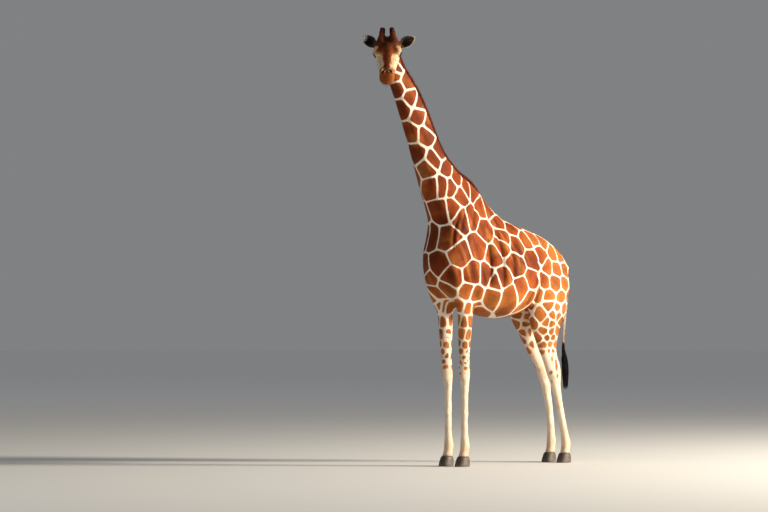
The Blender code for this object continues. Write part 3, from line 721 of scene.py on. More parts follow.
# %% Lids round the eyes
LID = 0.0026                            # how far the lids stand out from the eyeball
ALMOND = (0.0215, 0.0140, 0.0120)       # half its width, its height above the middle and below it
LOOK = (0.46, 0.87, 0.12)               # where the eyes point: along, to the side, up
LID_REACH = 0.056                       # how far from the middle of the eye the skin is still shaped
LID_BLEND = 0.003                       # how softly the lid runs into the skin round it
LID_DROP = 0.005                        # how far behind the eyeball's surface the skin drops in the almond
TEAR_DUCT = 0.027                       # how far before the middle of the eye it lies


def eye_axes(side):
    """Three directions of an eye: towards the tear duct, up over the lid, and out."""
    out = unit(mirrored(LOOK, side) @ head_axes)
    corner = head_along * math.cos(EYE_SLANT) - head_up * math.sin(EYE_SLANT)
    corner = unit(corner - out * corner.dot(out))
    lid_up = np.cross(corner, out)
    return corner, lid_up * np.sign(lid_up.dot(head_up)), out


points = points_of(skin)
lid_shade = np.zeros(len(points))
for side, middle in zip((1, -1), eye_middles):
    corner, lid_up, out = eye_axes(side)
    from_eye = points - middle
    off_axis = np.linalg.norm(from_eye - np.outer(from_eye @ out, out), axis=1)
    near = (off_axis < LID_REACH) & (from_eye @ out > -0.02)
    across, upward, height = (from_eye[near] @ axis for axis in (corner, lid_up, out))
    off = np.hypot(across, upward)
    almond = np.hypot(across / ALMOND[0], upward / np.where(upward > 0, ALMOND[1], ALMOND[2]))
    eyeball = np.sqrt(np.maximum(EYE_RADIUS ** 2 - off ** 2, 0))
    lid_ball = np.sqrt(np.maximum((EYE_RADIUS + LID) ** 2 - off ** 2, 1e-8))
    lid_ball -= 2.5 * np.maximum(off - EYE_RADIUS, 0)
    over = LID_BLEND * np.logaddexp(height / LID_BLEND, lid_ball / LID_BLEND)
    # The rim of the lids, the crease over the eye, the fold under the brow, the crease below, the tear duct.
    over += 0.0012 * falloff(almond - 1.10, 0.14)
    over -= 0.0032 * falloff(almond - 1.62, 0.16) * ramp(upward, 0.0, 0.008)
    over += 0.0060 * falloff(almond - 2.35, 0.50) * ramp(upward, 0.004, 0.014)
    over -= 0.0016 * falloff(almond - 1.55, 0.14) * ramp(-upward, 0.0, 0.008)
    over -= 0.0030 * falloff(np.hypot(across - TEAR_DUCT, upward), 0.0035)
    new = height + (over - height) * ramp(-off, -LID_REACH, -0.030)
    inside = ramp(-almond, -1.0, -0.90)
    new = new * (1 - inside) + (eyeball - LID_DROP) * inside
    points[near] += (new - height)[:, None] * out
    lid_shade[near] = np.maximum(lid_shade[near], ramp(-almond, -2.05, -1.25))
move_points(skin, points)
print("points on the lids:", int((lid_shade > 0).sum()))

# %% [markdown]
# ## Markings
#
# A reticulated giraffe is a net of cream lines round rust-red patches. Each patch grows from one centre
# until it meets its neighbours, which is exactly how a Voronoi diagram is made. So only the centres are
# chosen, row by row, and the lines fall halfway between them.
#
# The distance to the nearest line is kept on every point of the skin. It changes evenly from point to
# point, so the shader can draw a crisp line from it even where the grid is coarse. Painting the lines
# as colours on the points would blur them.

# %% Centres of the patches on the left, as y and z
PATCH_ROWS = {
    "front of the neck": [(-1.19, 4.355), (-1.175, 4.21), (-1.075, 3.99), (-0.975, 3.735), (-0.88, 3.50),
                          (-0.755, 3.15), (-0.635, 2.86)],
    "side of the neck": [(-1.005, 4.12), (-0.915, 3.93), (-0.80, 3.72), (-0.69, 3.44), (-0.775, 3.33),
                         (-0.61, 3.16)],
    "under the mane": [(-1.05, 4.30), (-0.90, 4.07), (-0.745, 3.83), (-0.615, 3.53), (-0.52, 3.34),
                       (-0.475, 3.15), (-0.37, 3.24), (-0.34, 3.06), (-0.225, 3.14), (-0.08, 3.08)],
    "base of the neck": [(-0.48, 2.88), (-0.365, 2.79), (-0.185, 2.81), (0.00, 2.95)],
    "shoulder": [(-0.53, 2.57), (-0.43, 2.38), (-0.15, 2.48), (-0.50, 2.12), (-0.27, 2.16), (-0.30, 1.955),
                 (-0.20, 1.93), (-0.44, 1.93)],
    "back": [(0.01, 2.66), (0.21, 2.92), (0.31, 2.77), (0.49, 2.70), (0.65, 2.57), (0.82, 2.60),
             (0.98, 2.56), (1.12, 2.42), (1.25, 2.40)],
    "ribs": [(0.28, 2.60), (0.21, 2.49), (0.06, 2.38), (0.46, 2.52), (0.37, 2.28), (0.67, 2.35),
             (0.88, 2.41)],
    "flank": [(-0.07, 2.15), (0.14, 2.12), (0.02, 1.92), (0.26, 1.92), (0.44, 2.00), (0.62, 2.10),
              (0.60, 1.90)],
    "haunch": [(0.97, 2.26), (1.13, 2.25), (1.30, 2.23), (0.90, 2.09), (1.07, 2.08), (1.25, 2.07),
               (1.40, 2.10), (0.96, 1.92), (1.17, 1.91), (1.33, 1.92), (0.82, 1.95)],
}
# The chest and the rump are seen from the front and the back, as x and z, and the spine from above, as y.
CHEST_PATCHES = [(-0.05, 2.57), (0.09, 2.26), (-0.15, 2.24), (0.11, 1.98), (-0.11, 1.96)]
RUMP_PATCHES = [(side * x, z) for x, z in ((0.10, 2.36), (0.13, 2.18), (0.12, 1.99), (0.15, 1.82))
                for side in (1, -1)]
SPINE_PATCHES = [0.30, 0.47, 0.66, 0.86, 1.06, 1.24]
OTHER_SIDE_SHIFT = 0.030                # the right side wears the same net, each patch moved a little

skin_tree = tree_of(skin)


def on_skin(start, direction):
    """Where a straight line from outside first meets the skin, or the nearest place to it."""
    hit = skin_tree.ray_cast(Vector(start), Vector(direction))[0]
    return np.array(hit if hit is not None else skin_tree.find_nearest(Vector(start))[0])


centres = []
for y, z in PATCH_ROWS.pop("front of the neck"):        # these reach over the middle, so they have no twin
    beside = on_skin((3.0, y, z), (-1.0, 0.0, 0.0))
    centres.append(on_skin((0.45 * beside[0], -3.0, z), (0.0, 1.0, 0.0)))
for y, z in [place for row in PATCH_ROWS.values() for place in row]:
    centres.append(on_skin((3.0, y, z), (-1.0, 0.0, 0.0)))
    moved = chance.normal(0.0, OTHER_SIDE_SHIFT, 2)
    centres.append(on_skin((-3.0, y + moved[0], z + moved[1]), (1.0, 0.0, 0.0)))
for places, start, direction in ((CHEST_PATCHES, -3.0, 1.0), (RUMP_PATCHES, 4.0, -1.0)):
    for x, z in places:
        centres.append(on_skin((x, start, z + chance.normal(0.0, 0.010)), (0.0, direction, 0.0)))
for y in SPINE_PATCHES:
    centres.append(on_skin((0.0, y, 5.0), (0.0, 0.0, -1.0)))
print("patches on the body:", len(centres))

# %% Rings of patches round the legs
# Heights of the rings from the top, and how many patches go round in each.
LEG_RINGS = {
    "front": [(1.78, 5), (1.64, 5), (1.475, 4), (1.37, 4), (1.295, 4), (1.235, 4), (1.18, 4), (1.12, 4),
              (1.04, 4), (0.97, 4), (0.90, 4)],
    "hind": [(1.80, 7), (1.71, 7), (1.615, 7), (1.525, 6), (1.445, 6), (1.365, 5), (1.285, 5), (1.20, 5),
             (1.11, 5)],
}
for name in LEGS:
    outward = 1.0 if name.endswith("left") else -1.0
    line = leg_lines[name]
    for ring, (height, count) in enumerate(LEG_RINGS["front" if "front" in name else "hind"]):
        for turn in range(count):
            angle = 2 * math.pi * (turn + 0.5 * (ring % 2)) / count + chance.normal(0.0, 0.18)
            z = height + chance.normal(0.0, 0.010)
            x = np.interp(z, line[:, 0], line[:, 1])
            y = np.interp(z, line[:, 0], line[:, 2])
            aim = np.array([math.sin(angle) * outward, -math.cos(angle), 0.0])
            centres.append(on_skin((x, y, z) + aim * 0.35, -aim))

# %% Small patches on the cheeks
for along_from, along_to, step in ((0.02, 0.24, 0.068), (0.262, 0.50, 0.034)):
    for along in np.arange(along_from, along_to, step):
        for row, above in enumerate(np.arange(-0.150, 0.06, step * 0.9)):
            for side in (1, -1):
                moved = chance.normal(0.0, step * 0.12, 2)
                place = (along + step / 2 * (row % 2) + moved[0], 0.4 * side, above + moved[1])
                hit = skin_tree.ray_cast(Vector(in_room(place)), Vector(-side * head_side))[0]
                if hit is not None and side * in_head(np.array(hit)[None])[0, 1] > 0.03:
                    centres.append(np.array(hit))
centres = np.array(centres)
patch_tone = chance.normal(0.0, 1.0, len(centres))
print("patches in all:", len(centres))

# %% How far each point is from the nearest line
CORNER_ROUNDING = 0.006                 # the net's knots widen by about this much
WOBBLE = 0.011                          # the lines wander by about this much
WOBBLE_LENGTH = 0.13
BATCH = 20000                           # points are compared with every centre, so they go in batches


def to_lines(points, sites, rounding):
    """The patch each point is in, and how far it is from that patch's border."""
    apart = np.linalg.norm(sites[:, None] - sites[None], axis=2)
    np.fill_diagonal(apart, np.inf)
    patch = np.empty(len(points), dtype=int)
    border = np.empty(len(points))
    for start in range(0, len(points), BATCH):
        part = points[start:start + BATCH]
        squares = (part ** 2).sum(1)[:, None] + (sites ** 2).sum(1)[None] - 2 * part @ sites.T
        mine = squares.argmin(1)
        gap = (squares - squares[np.arange(len(part)), mine][:, None]) / (2 * apart[mine])
        gap[np.arange(len(part)), mine] = np.inf
        nearest = gap.min(1)
        soft = np.exp(-(gap - nearest[:, None]) / rounding).sum(1)
        patch[start:start + BATCH] = mine
        border[start:start + BATCH] = nearest - rounding * np.log(soft)
    return patch, border


points = points_of(skin)
wander = np.column_stack([rough(points, WOBBLE_LENGTH, seed) for seed in (1, 2, 3)])
shrink = ramp(points[:, 2], 1.2, 2.0)[:, None] * 0.6 + 0.4
patch, border = to_lines(points + WOBBLE * shrink * wander, centres, CORNER_ROUNDING)
print("points inside patches:", int((border > 0.014).sum()), "of", len(points))

# %% Paint helper
def paint(colours, *coats):
    """Brush coats over a colour. Each coat is a colour and its weight at every point."""
    for colour, weight in coats:
        colours = colours + weight[:, None] * (np.asarray(colour) - colours)
    return colours

# %% How wide the lines are, and where the net fades out
points, facing = points_of(skin), normals_of(skin)
x, y, z = points.T
head_points = in_head(points)
on_head = share_on(["head", *EYES, *HORNS], 8)
on_trunk, on_legs = share_on(["trunk"], 12), share_on(LEGS, 8)
on_ears, on_tail = share_on(EARS, 2), share_on(["tail"], 0)
outward = facing[:, 0] * np.sign(x)

# Half the width of a line: wider up the neck and on the inner legs, and so wide at the belly, the feet
# and the tail that the net is lost in plain cream.
HALF_LINE = 0.0102
half_line = HALF_LINE + 0.0026 * ramp(z, 3.1, 3.5) * (1 - on_head)
half_line += 0.002 * on_trunk * ramp(-z, -2.15, -1.9)
half_line -= 0.001 * on_legs * ramp(-z, -1.75, -1.60)
hoof_fade = np.where(y > 0.5, ramp(-z, -1.36, -1.08), ramp(-z, -1.14, -0.90))
half_line += on_legs * (0.06 * hoof_fade + 1.5 * ramp(-z, -0.96, -0.86))
half_line += 0.007 * on_legs * ramp(-outward, 0.3, 0.9)
half_line += 0.030 * on_trunk * ramp(-facing[:, 2], 0.90, 1.0)
half_line += 0.10 * on_tail

# Solid colour over the bridge of the nose, the forehead and the muzzle; a fine net on the cheeks.
along, aside, above = head_points[:, 0], np.abs(head_points[:, 1]), head_points[:, 2]
ragged_rim = 0.010 * rough(points, 0.045, 14)
inner_rim_of_cheek = 0.058 - 0.022 * ramp(along, 0.27, 0.46) + ragged_rim
cheek = ramp(aside - inner_rim_of_cheek, -0.008, 0.012)
cheek *= ramp(along + 0.45 * (aside - 0.06) + ragged_rim, 0.278, 0.318)
cheek *= ramp(-along + ragged_rim, -0.505, -0.47)
behind_eye = ramp(-above, -0.035, -0.005) * ramp(-along, -0.25, -0.22) * ramp(aside, 0.05, 0.09)
netted = np.clip(cheek + behind_eye, 0, 1)
half_line -= on_head * (0.0045 * cheek + 0.005 * behind_eye)
half_line *= 1 + 0.20 * rough(points, 0.16, 4)
half_line -= 0.07 * on_head * (1 - netted) + 0.30 * on_ears
edge = evened(border - half_line, edges, 1)

# Lone spots on the hocks, as y, z, and half their width and height.
HOCK_SPOTS = [(1.20, 1.135, 0.023, 0.070), (1.22, 1.01, 0.018, 0.028), (1.13, 1.05, 0.015, 0.024),
              (1.125, 1.215, 0.018, 0.036), (1.16, 0.94, 0.012, 0.018)]
shift = np.where(x > 0, 0.0, 0.025)
for spot_y, spot_z, half_width, half_height in HOCK_SPOTS:
    off = np.hypot((y - spot_y - shift) / half_width, (z - spot_z) / half_height)
    spot = np.where(outward > 0.1, half_width * (1 - off), -1.0)
    edge = np.where(on_legs > 0.5, np.maximum(edge, spot), edge)

# %% Paint the patches and the ground
RUST, DEEP_RUST, TAN = tint(142, 61, 17), tint(82, 32, 12), tint(196, 126, 60)
CREAM, LEG_CREAM, CHEEK_CREAM = tint(242, 228, 210), tint(230, 212, 190), tint(226, 192, 146)
FACE_BROWN, MUZZLE_ORANGE, BROW_GOLD = tint(96, 44, 18), tint(142, 72, 30), tint(236, 200, 140)
NEAR_BLACK, GREY_HAIR, BARE_SKIN = tint(24, 17, 15), tint(92, 76, 70), tint(52, 34, 28)

on_neck = np.clip(1 - on_trunk - on_legs - on_head - on_ears - on_tail, 0, 1)
off_head = 1 - on_head
blotch = rough(points, 0.22, 9)
patch_colour = paint(
    RUST,
    (DEEP_RUST, 0.40 * on_neck * ramp(z, 2.9, 3.6)),
    (DEEP_RUST, 0.40 * on_trunk * ramp(-y, 0.1, 0.5) * ramp(z, 2.2, 2.6)),
    (TAN, 0.42 * on_trunk * ramp(y, 0.7, 1.2)),
    (TAN, 0.40 * on_trunk * ramp(-z, -2.15, -1.85)),
    (TAN, 0.55 * on_legs),
    (DEEP_RUST, 0.30 * ramp(border, 0.030, 0.075) * off_head))
patch_colour = paint(
    patch_colour * (1 + 0.10 * evened(patch_tone[patch], edges, 2))[:, None],
    (TAN, 0.45 * fold_light * (1 - fold_shade)),
    (DEEP_RUST, 0.35 * ramp(blotch, 0.0, 0.5) * off_head),
    (TAN, 0.30 * ramp(-blotch, 0.05, 0.5) * off_head))
patch_colour *= (1 - 0.62 * fold_shade)[:, None]

dusted = ramp(rough(points * (1.0, 1.0, 0.45), 0.050, 17), 0.05, 0.60)
back_of_leg = ramp(facing[:, 1], 0.35, 0.95) * ramp(-z, -0.95, -0.75)
ground_colour = paint(
    CREAM * (1 - 0.25 * fold_shade)[:, None],
    (LEG_CREAM, on_legs * ramp(-z, -1.7, -1.0)),
    (TAN, 0.30 * on_legs * ramp(-z, -0.5, -0.12)),
    (LEG_CREAM, 0.6 * on_trunk * ramp(-facing[:, 2], 0.3, 0.9)),
    (TAN, 0.30 * dusted * on_legs),
    (TAN, 0.32 * back_of_leg * on_legs))

# %% Paint the face
def near_place(places, width):
    """A soft spot of paint round places on both sides of the head."""
    return np.maximum(*(falloff(to_path(head_points, mirrored(places, side))[0], width) for side in (1, -1)))


BROW_PATCH = [(0.200, 0.122, 0.082), (0.238, 0.140, 0.072)]
NOSTRIL_RIM = [(0.512, 0.034, 0.056), (0.528, 0.054, 0.044), (0.556, 0.064, 0.028)]
INNER_RIM = [(0.530, 0.016, 0.060), (0.556, 0.024, 0.052)]
face = paint(
    FACE_BROWN,
    (RUST, 0.8 * ramp(aside, 0.012, 0.034) * ramp(along, 0.16, 0.28)),
    (TAN, 0.35 * ramp(aside, 0.034, 0.050) * ramp(along, 0.22, 0.30)),
    (RUST, 0.6 * ramp(-above, 0.0, 0.06)),
    (MUZZLE_ORANGE, 0.85 * ramp(along, 0.46, 0.56)),
    (TAN, 0.45 * ramp(along, 0.50, 0.60) * ramp(-above, 0.04, 0.10)),
    (NEAR_BLACK, 0.60 * falloff(np.hypot(along - 0.16, aside), 0.065)),
    (NEAR_BLACK, 0.45 * ramp(-above, 0.065, 0.12) * ramp(along, 0.48, 0.56)),
    (BROW_GOLD, 0.95 * ramp(near_place(BROW_PATCH, 0.024), 0.10, 0.60)),
    (CREAM, 0.85 * near_place(NOSTRIL_RIM, 0.009)),
    (CREAM, 0.5 * near_place(INNER_RIM, 0.007)),
    (NEAR_BLACK, ramp(near_place(FACE_STROKES["nostril"][0], 0.0095), 0.15, 0.6)),
    (BARE_SKIN, 0.9 * ramp(near_place(MOUTH, 0.0060), 0.2, 0.8)),
    (GREY_HAIR, 0.35 * ramp(near_place(MOUTH, 0.020), 0.2, 0.9)),
    (BARE_SKIN, 0.92 * lid_shade))
freckled = ramp(rough(points, 0.017, 31), 0.0, 0.35)
off_lids = on_head * (1 - lid_shade)
patch_colour = paint(
    patch_colour,
    (face, on_head),
    (CHEEK_CREAM, 0.95 * cheek * off_lids),
    (tint(176, 112, 62), 0.75 * freckled * cheek * off_lids),
    (TAN, 0.35 * behind_eye * off_lids))
ground_colour = paint(ground_colour, (CHEEK_CREAM, 0.55 * cheek * on_head), (BARE_SKIN, 0.9 * lid_shade))

# %% Paint the ears and the tail
ahead = unit(head_along * (1.0, 1.0, 0.0))
inner_ear = ramp(facing @ ahead, 0.05, 0.35)
ear = paint(LEG_CREAM, (TAN, 0.4 * ramp(-aside, -0.26, -0.16)), (GREY_HAIR, inner_ear))
for name in EARS:
    mesh = points_of(solids[name].data)
    tip = mesh[np.argmax(np.abs(in_head(mesh)[:, 1]))]
    from_tip = np.linalg.norm(points - tip, axis=1)
    core = falloff(np.linalg.norm(points - (mesh.mean(0) * 0.92 + tip * 0.08), axis=1), 0.058)
    ear = paint(ear, (NEAR_BLACK, 0.92 * inner_ear * ramp(core, 0.25, 0.70)))
    if name == "ear_right":             # this one ends in a bright tip, the other in a grey one
        # The tip's hair is cream, painted brighter than the coat's cream to near white: a painted highlight
        # of sun on it.
        ear = paint(ear, (tint(253, 247, 238), ramp(-from_tip, -0.068, -0.044)))
    else:
        greyed = ramp(-from_tip, -0.16, -0.05) * ramp(facing @ ahead, -0.75, -0.25)
        ear = paint(ear, (GREY_HAIR, 0.8 * greyed))
patch_colour = paint(patch_colour, (ear, on_ears))
ground_colour = paint(
    ground_colour,
    (TAN, 0.5 * on_tail * ramp(-z, -1.7, -1.4)),
    (BARE_SKIN, 0.8 * on_tail * ramp(-z, -1.42, -1.34)))

# %% Keep the markings on the skin
def keep_values(mesh, **named):
    """Keep a value for every point of a mesh: numbers, or colours when each has three parts."""
    for name, values in named.items():
        values = np.asarray(values, dtype=np.float32)
        kind, key = ("FLOAT_COLOR", "color") if values.ndim == 2 else ("FLOAT", "value")
        if values.ndim == 2:
            values = np.pad(values, ((0, 0), (0, 1)), constant_values=1.0)
        mesh.attributes.new(name, kind, "POINT").data.foreach_set(key, values.ravel())


looks = {"edge": edge, "patch_colour": patch_colour, "ground_colour": ground_colour}
keep_values(skin, **looks, shade=np.zeros(len(points)))
print("widest line", round(float(half_line[on_trunk > 0.9].max() * 2000)), "mm")

# %% [markdown]
# ## The coat's finish
#
# Short hair scatters light along its length, so it looks soft at grazing angles and never shines like
# paint. The material draws the net from the stored distance, roughened by a fine noise because hairs
# cross the border. Folds and pores come from bump, with a long thin grain where the hair lies down
# the neck and legs.

# %% The marked coat
def marked_coat(name, grain):
    """The finish of skin and hair: the net of lines, mottling and a fine grain of a given strength."""
    made, tree, shader = new_material(name)
    place = add_node(tree, "TexCoord").outputs["Object"]
    from_line, shade = (add_node(tree, "Attribute", attribute_name=value).outputs["Fac"]
                        for value in ("edge", "shade"))
    patch, ground = (add_node(tree, "Attribute", attribute_name=value).outputs["Color"]
                     for value in ("patch_colour", "ground_colour"))
    ragged = counted(tree, "MULTIPLY", counted(tree, "SUBTRACT", noisy(tree, 120.0, 3.0, place), 0.5), 0.007)
    inside = span(tree, counted(tree, "ADD", from_line, ragged), -0.0018, 0.0026, shape="SMOOTHSTEP")
    mottle = noisy(tree, 11.0, 7.0, place, Roughness=0.62)
    worn = scaled(tree, patch, span(tree, mottle, 0.3, 0.7, 0.70, 1.28))
    dusty = mixed(tree, span(tree, mottle, 0.35, 0.75, 0.0, 0.35), ground, tint(206, 172, 128))
    net = scaled(tree, mixed(tree, inside, dusty, worn), counted(tree, "ADD", shade, 1.0))
    lying = add_node(tree, "Mapping", {"Vector": place, "Scale": (1.0, 0.8, 0.22)}).outputs[0]
    creases = add_node(tree, "Bump", {"Height": noisy(tree, 38.0, 5.0, lying, Distortion=0.4),
                                      "Strength": 0.20 * grain, "Distance": 0.006}).outputs[0]
    hairs = add_node(tree, "Bump", {"Height": noisy(tree, 420.0, 3.0, lying), "Strength": 0.55 * grain,
                                    "Distance": 0.0015, "Normal": creases}).outputs[0]
    fill(tree, shader, {"Base Color": net, "Roughness": span(tree, mottle, to_low=0.52, to_high=0.72),
                        "Normal": hairs, "Specular IOR Level": 0.07, "Sheen Weight": 0.03,
                        "Sheen Roughness": 0.45})
    return made


skin.materials.clear()
skin.materials.append(marked_coat("coat_on_skin", 1.0))
hair_material = marked_coat("coat_in_tufts", 0.0)

# %% Unwrap the skin
# Each island of the unwrap is cut from the skin's own shape, so a tuft can take its colour from the
# place where it grows.
def unwrap(piece):
    """Give a piece an unwrap cut from its own shape."""
    piece.data.uv_layers.new(name="OFBake")
    for other in bpy.context.selected_objects:
        other.select_set(False)
    bpy.context.view_layer.objects.active = piece
    piece.select_set(True)
    bpy.ops.object.mode_set(mode="EDIT")
    bpy.ops.mesh.select_all(action="SELECT")
    bpy.ops.uv.smart_project(angle_limit=math.radians(66), island_margin=0.002)
    bpy.ops.object.mode_set(mode="OBJECT")


skin_object = add_piece("skin", skin, "trunk", *FLESH)
unwrap(skin_object)
print("skin has", len(skin.polygons), "faces")

# %% [markdown]
# ## Hair
#
# A coat is thousands of tufts that overlap like tiles and lie down the body. Real hairs would be far
# too many, so each tuft is one thin closed leaf: a root, a middle ring and a tip. They are
# shortest on the muzzle and feet and longest along the withers.
#
# The lie of the hair is a direction on every point of the skin. It is set roughly for each part of
# the body and then evened over the surface, so the tufts turn gently where one part meets another.

# %% The lie of the hair
LIE = {"head": head_along * 0.95 - head_up * 0.3, "neck": (0.0, 0.50, -0.87), "trunk": (0.0, 0.78, -0.62),
       "tail": (0.0, 0.0, -1.0), "ear_left": head_side - 0.2 * head_along,
       "ear_right": -head_side - 0.2 * head_along, "ossicone_left": -head_along + head_up,
       "ossicone_right": -head_along + head_up}


def laid_flat(rows):
    """Directions turned to lie on the skin."""
    return rows - facing * dot(rows, facing)[:, None]


lie = evened(unit(laid_flat(by_part(LIE, (0.0, 0.02, -1.0), 14))), edges, 6)
lie = unit(laid_flat(lie))

# %% Strands as closed mesh
RING = np.array([(-1.0, 0.0), (1.0, 0.0), (0.0, 1.0)])     # across and up: flat below, ridged above
MAP_PATCH = 0.003                       # how wide each strand's patch is on the unwrap


def strands(name, slot, middles, across, widths, thickness, roots_on_map, values):
    """One piece of many closed strands. The slot is not used.

    middles: for each strand its root, ring middles and tip. across: the direction of its width.
    values: numbers or colours kept for each strand.
    """
    count, stations = middles.shape[:2]
    rings = stations - 2
    run = middles[:, 2:] - middles[:, :-2]
    up = np.cross(run, across[:, None])
    up /= np.linalg.norm(up, axis=2, keepdims=True) + 1e-9
    spokes = across[:, None, None] * RING[:, :1] + up[:, :, None] * RING[:, 1:] * thickness
    corner = middles[:, 1:-1, None] + widths[:, :, None, None] * spokes
    points = np.concatenate([middles[:, :1], corner.reshape(count, rings * 3, 3), middles[:, -1:]], axis=1)
    each = rings * 3 + 2
    shape = [(0, 1 + (turn + 1) % 3, 1 + turn) for turn in range(3)]
    for ring in range(rings - 1):
        for turn in range(3):
            here, after = 1 + 3 * ring + turn, 1 + 3 * ring + (turn + 1) % 3
            shape += [(here, after, after + 3), (here, after + 3, here + 3)]
    last = 1 + 3 * (rings - 1)
    shape += [(last + turn, last + (turn + 1) % 3, each - 1) for turn in range(3)]
    shape = np.array(shape)
    faces = (np.arange(count)[:, None, None] * each + shape[None]).reshape(-1, 3)
    corners = points[0][shape]
    if dot(corners[:, 0], np.cross(corners[:, 1], corners[:, 2])).sum() < 0:     # inside out
        faces = faces[:, ::-1]
    mesh = bpy.data.meshes.new(name)
    mesh.vertices.add(count * each)
    mesh.loops.add(len(faces) * 3)
    mesh.polygons.add(len(faces))
    mesh.vertices.foreach_set("co", points.ravel())
    mesh.loops.foreach_set("vertex_index", faces.astype(np.int32).ravel())
    mesh.polygons.foreach_set("loop_start", np.arange(0, len(faces) * 3, 3, dtype=np.int32))
    mesh.polygons.foreach_set("loop_total", np.full(len(faces), 3, dtype=np.int32))
    mesh.update(calc_edges=True)
    ahead = np.concatenate([[-1.0], np.repeat(np.linspace(-0.4, 0.4, rings), 3), [1.0]])
    aside = np.concatenate([[0.0], np.tile(RING[:, 0], rings), [0.0]])
    patch = np.column_stack([aside, ahead]) * MAP_PATCH / 2
    on_map = np.clip(roots_on_map[:, None] + patch[None], 0, 1).reshape(-1, 2)
    mesh.uv_layers.new(name="OFBake").data.foreach_set("uv", on_map[faces.ravel()].astype(np.float32).ravel())
    tip_share = np.concatenate([[0.0], np.repeat(np.linspace(0.35, 0.8, rings), 3), [1.0]])
    for key, value in values.items():
        value = np.repeat(value, each, axis=0)
        if key == "shade":
            value = value + np.tile(tip_share, count) * 0.16 - 0.08
        keep_values(mesh, **{key: value})
    mesh.materials.append(hair_material)
    return add_piece(name, mesh, slot)


def plain_looks(colours, shade=None):
    """What each strand keeps where hair has one colour and no net."""
    return {"edge": np.full(len(colours), 0.05), "patch_colour": colours, "ground_colour": colours,
            "shade": np.zeros(len(colours)) if shade is None else shade}

# %% Read a surface that hair grows on
def surface_of(mesh):
    """What is needed to grow hair on a mesh: its points, facing, triangles, their area and their unwrap."""
    mesh.calc_loop_triangles()
    triangles, corners = (read(mesh.loop_triangles, kind, 3, np.int32) for kind in ("vertices", "loops"))
    points = points_of(mesh)
    sides = points[triangles[:, 1:]] - points[triangles[:, :1]]
    return {"points": points, "facing": normals_of(mesh), "triangles": triangles,
            "area": np.linalg.norm(np.cross(sides[:, 0], sides[:, 1]), axis=1) / 2,
            "unwrapped": read(mesh.uv_layers["OFBake"].data, "uv", 2)[corners]}


def choose_roots(on, weight, count):
    """Evenly spread places on a surface: the triangle of each, and its share of the three corners."""
    total = np.cumsum(on["area"] * weight[on["triangles"]].mean(1))
    spots = (np.arange(count) + chance.random(count)) / count * total[-1]
    chosen = np.minimum(np.searchsorted(total, spots), len(total) - 1)
    first, second = chance.random((2, count))
    over = first + second > 1
    first, second = np.where(over, 1 - first, first), np.where(over, 1 - second, second)
    return chosen, np.column_stack([1 - first - second, first, second])

# %% Grow tufts on a surface
SLIMNESS = 0.080                        # half a tuft's width, as a share of its length
THICKNESS = 0.26                        # its height, as a share of half its width
SPREAD = 0.20                           # how far tufts turn from the lie, in radians


def grow(name, slot, on, weight, count, length, rise, lie, looks):
    """Lay tufts over a surface. weight, length, rise and lie are kept for every point of it."""
    chosen, share = choose_roots(on, weight, count)

    def here(values):
        picked = np.asarray(values)[on["triangles"][chosen]]
        return (picked * (share[:, :, None] if picked.ndim == 3 else share)).sum(1)

    root, out, way = here(on["points"]), unit(here(on["facing"])), unit(here(lie))
    turned = chance.normal(0.0, SPREAD, count)[:, None]
    way = unit(way * np.cos(turned) + np.cross(way, out) * np.sin(turned))
    long = (here(length) * chance.uniform(0.75, 1.25, count))[:, None]
    high = long * (here(rise) * chance.uniform(0.4, 1.6, count))[:, None]
    middles = np.stack([root - out * 0.0005, root + way * long * 0.42 + out * high * 0.7,
                        root + way * long + out * high], axis=1)
    kept = {key: here(value) for key, value in looks.items()}
    kept["shade"] = chance.normal(0.0, 0.05, count)
    piece = strands(name, slot, middles, np.cross(way, out), long * SLIMNESS, THICKNESS,
                    (on["unwrapped"][chosen] * share[:, :, None]).sum(1), kept)
    print(name, len(piece.data.polygons), "triangles")

# %% How long the hair is, and how far its tips stand off
skin_surface = surface_of(skin)
LENGTH = {"trunk": 0.021, "neck": 0.019, "head": 0.0105, "tail": 0.022, "ear_left": 0.013, "ear_right": 0.013}
length = by_part(LENGTH, 0.017, 10)
length *= 1 - 0.25 * (on_trunk + on_neck)
length *= 1 - 0.40 * on_legs * ramp(-z, -1.5, -0.3)
length *= 1 - 0.45 * ramp(along, 0.38, 0.56) * on_head
length *= 1 + 0.9 * falloff(np.abs(x), 0.03) * ramp(facing[:, 2], 0.4, 0.8) * (on_trunk + on_neck)
length *= 1 - 0.6 * ramp(near_place([(EYE_ALONG, EYE_ASIDE, EYE_UP)], 0.045), 0.2, 0.7)
RISE = {"head": 0.016, "tail": 0.12, "ear_left": 0.16, "ear_right": 0.16}
rise = by_part(RISE, 0.010, 6)
inner_rim = on_ears * ramp(-facing @ ahead, -0.75, -0.2)
length *= 1 + 0.5 * inner_rim

bald = np.maximum(lid_shade, near_place(FACE_STROKES["nostril"][0], 0.010) * 1.2)
hairy = 1 - 0.99 * ramp(bald, 0.25, 0.7)

# %% Lay the coat
# Each piece: the solids it covers, the side of the body (0 for both), and how many tufts.
COAT = {
    "coat_trunk_left": (["trunk"], 1, 27000),
    "coat_trunk_right": (["trunk"], -1, 27000),
    "coat_neck": (["neck"], 0, 30000),
    "coat_head": (["head", *EYES, *HORNS], 0, 33000),
    "coat_front_legs": (LEGS[:2], 0, 25000),
    "coat_hind_legs": (LEGS[2:], 0, 29000),
    "coat_ears_and_tail": ([*EARS, "tail"], 0, 13000),
}
for name, (parts, side, count) in COAT.items():
    weight = belongs(parts, part_of) * hairy
    if side:
        weight = weight * (x * side >= 0)
    if "tail" in parts:
        weight = weight * np.where(on_ears > 0.5, 2.5, 1.0)
    grow(name, parts[0], skin_surface, weight, count, length, rise, lie, looks)

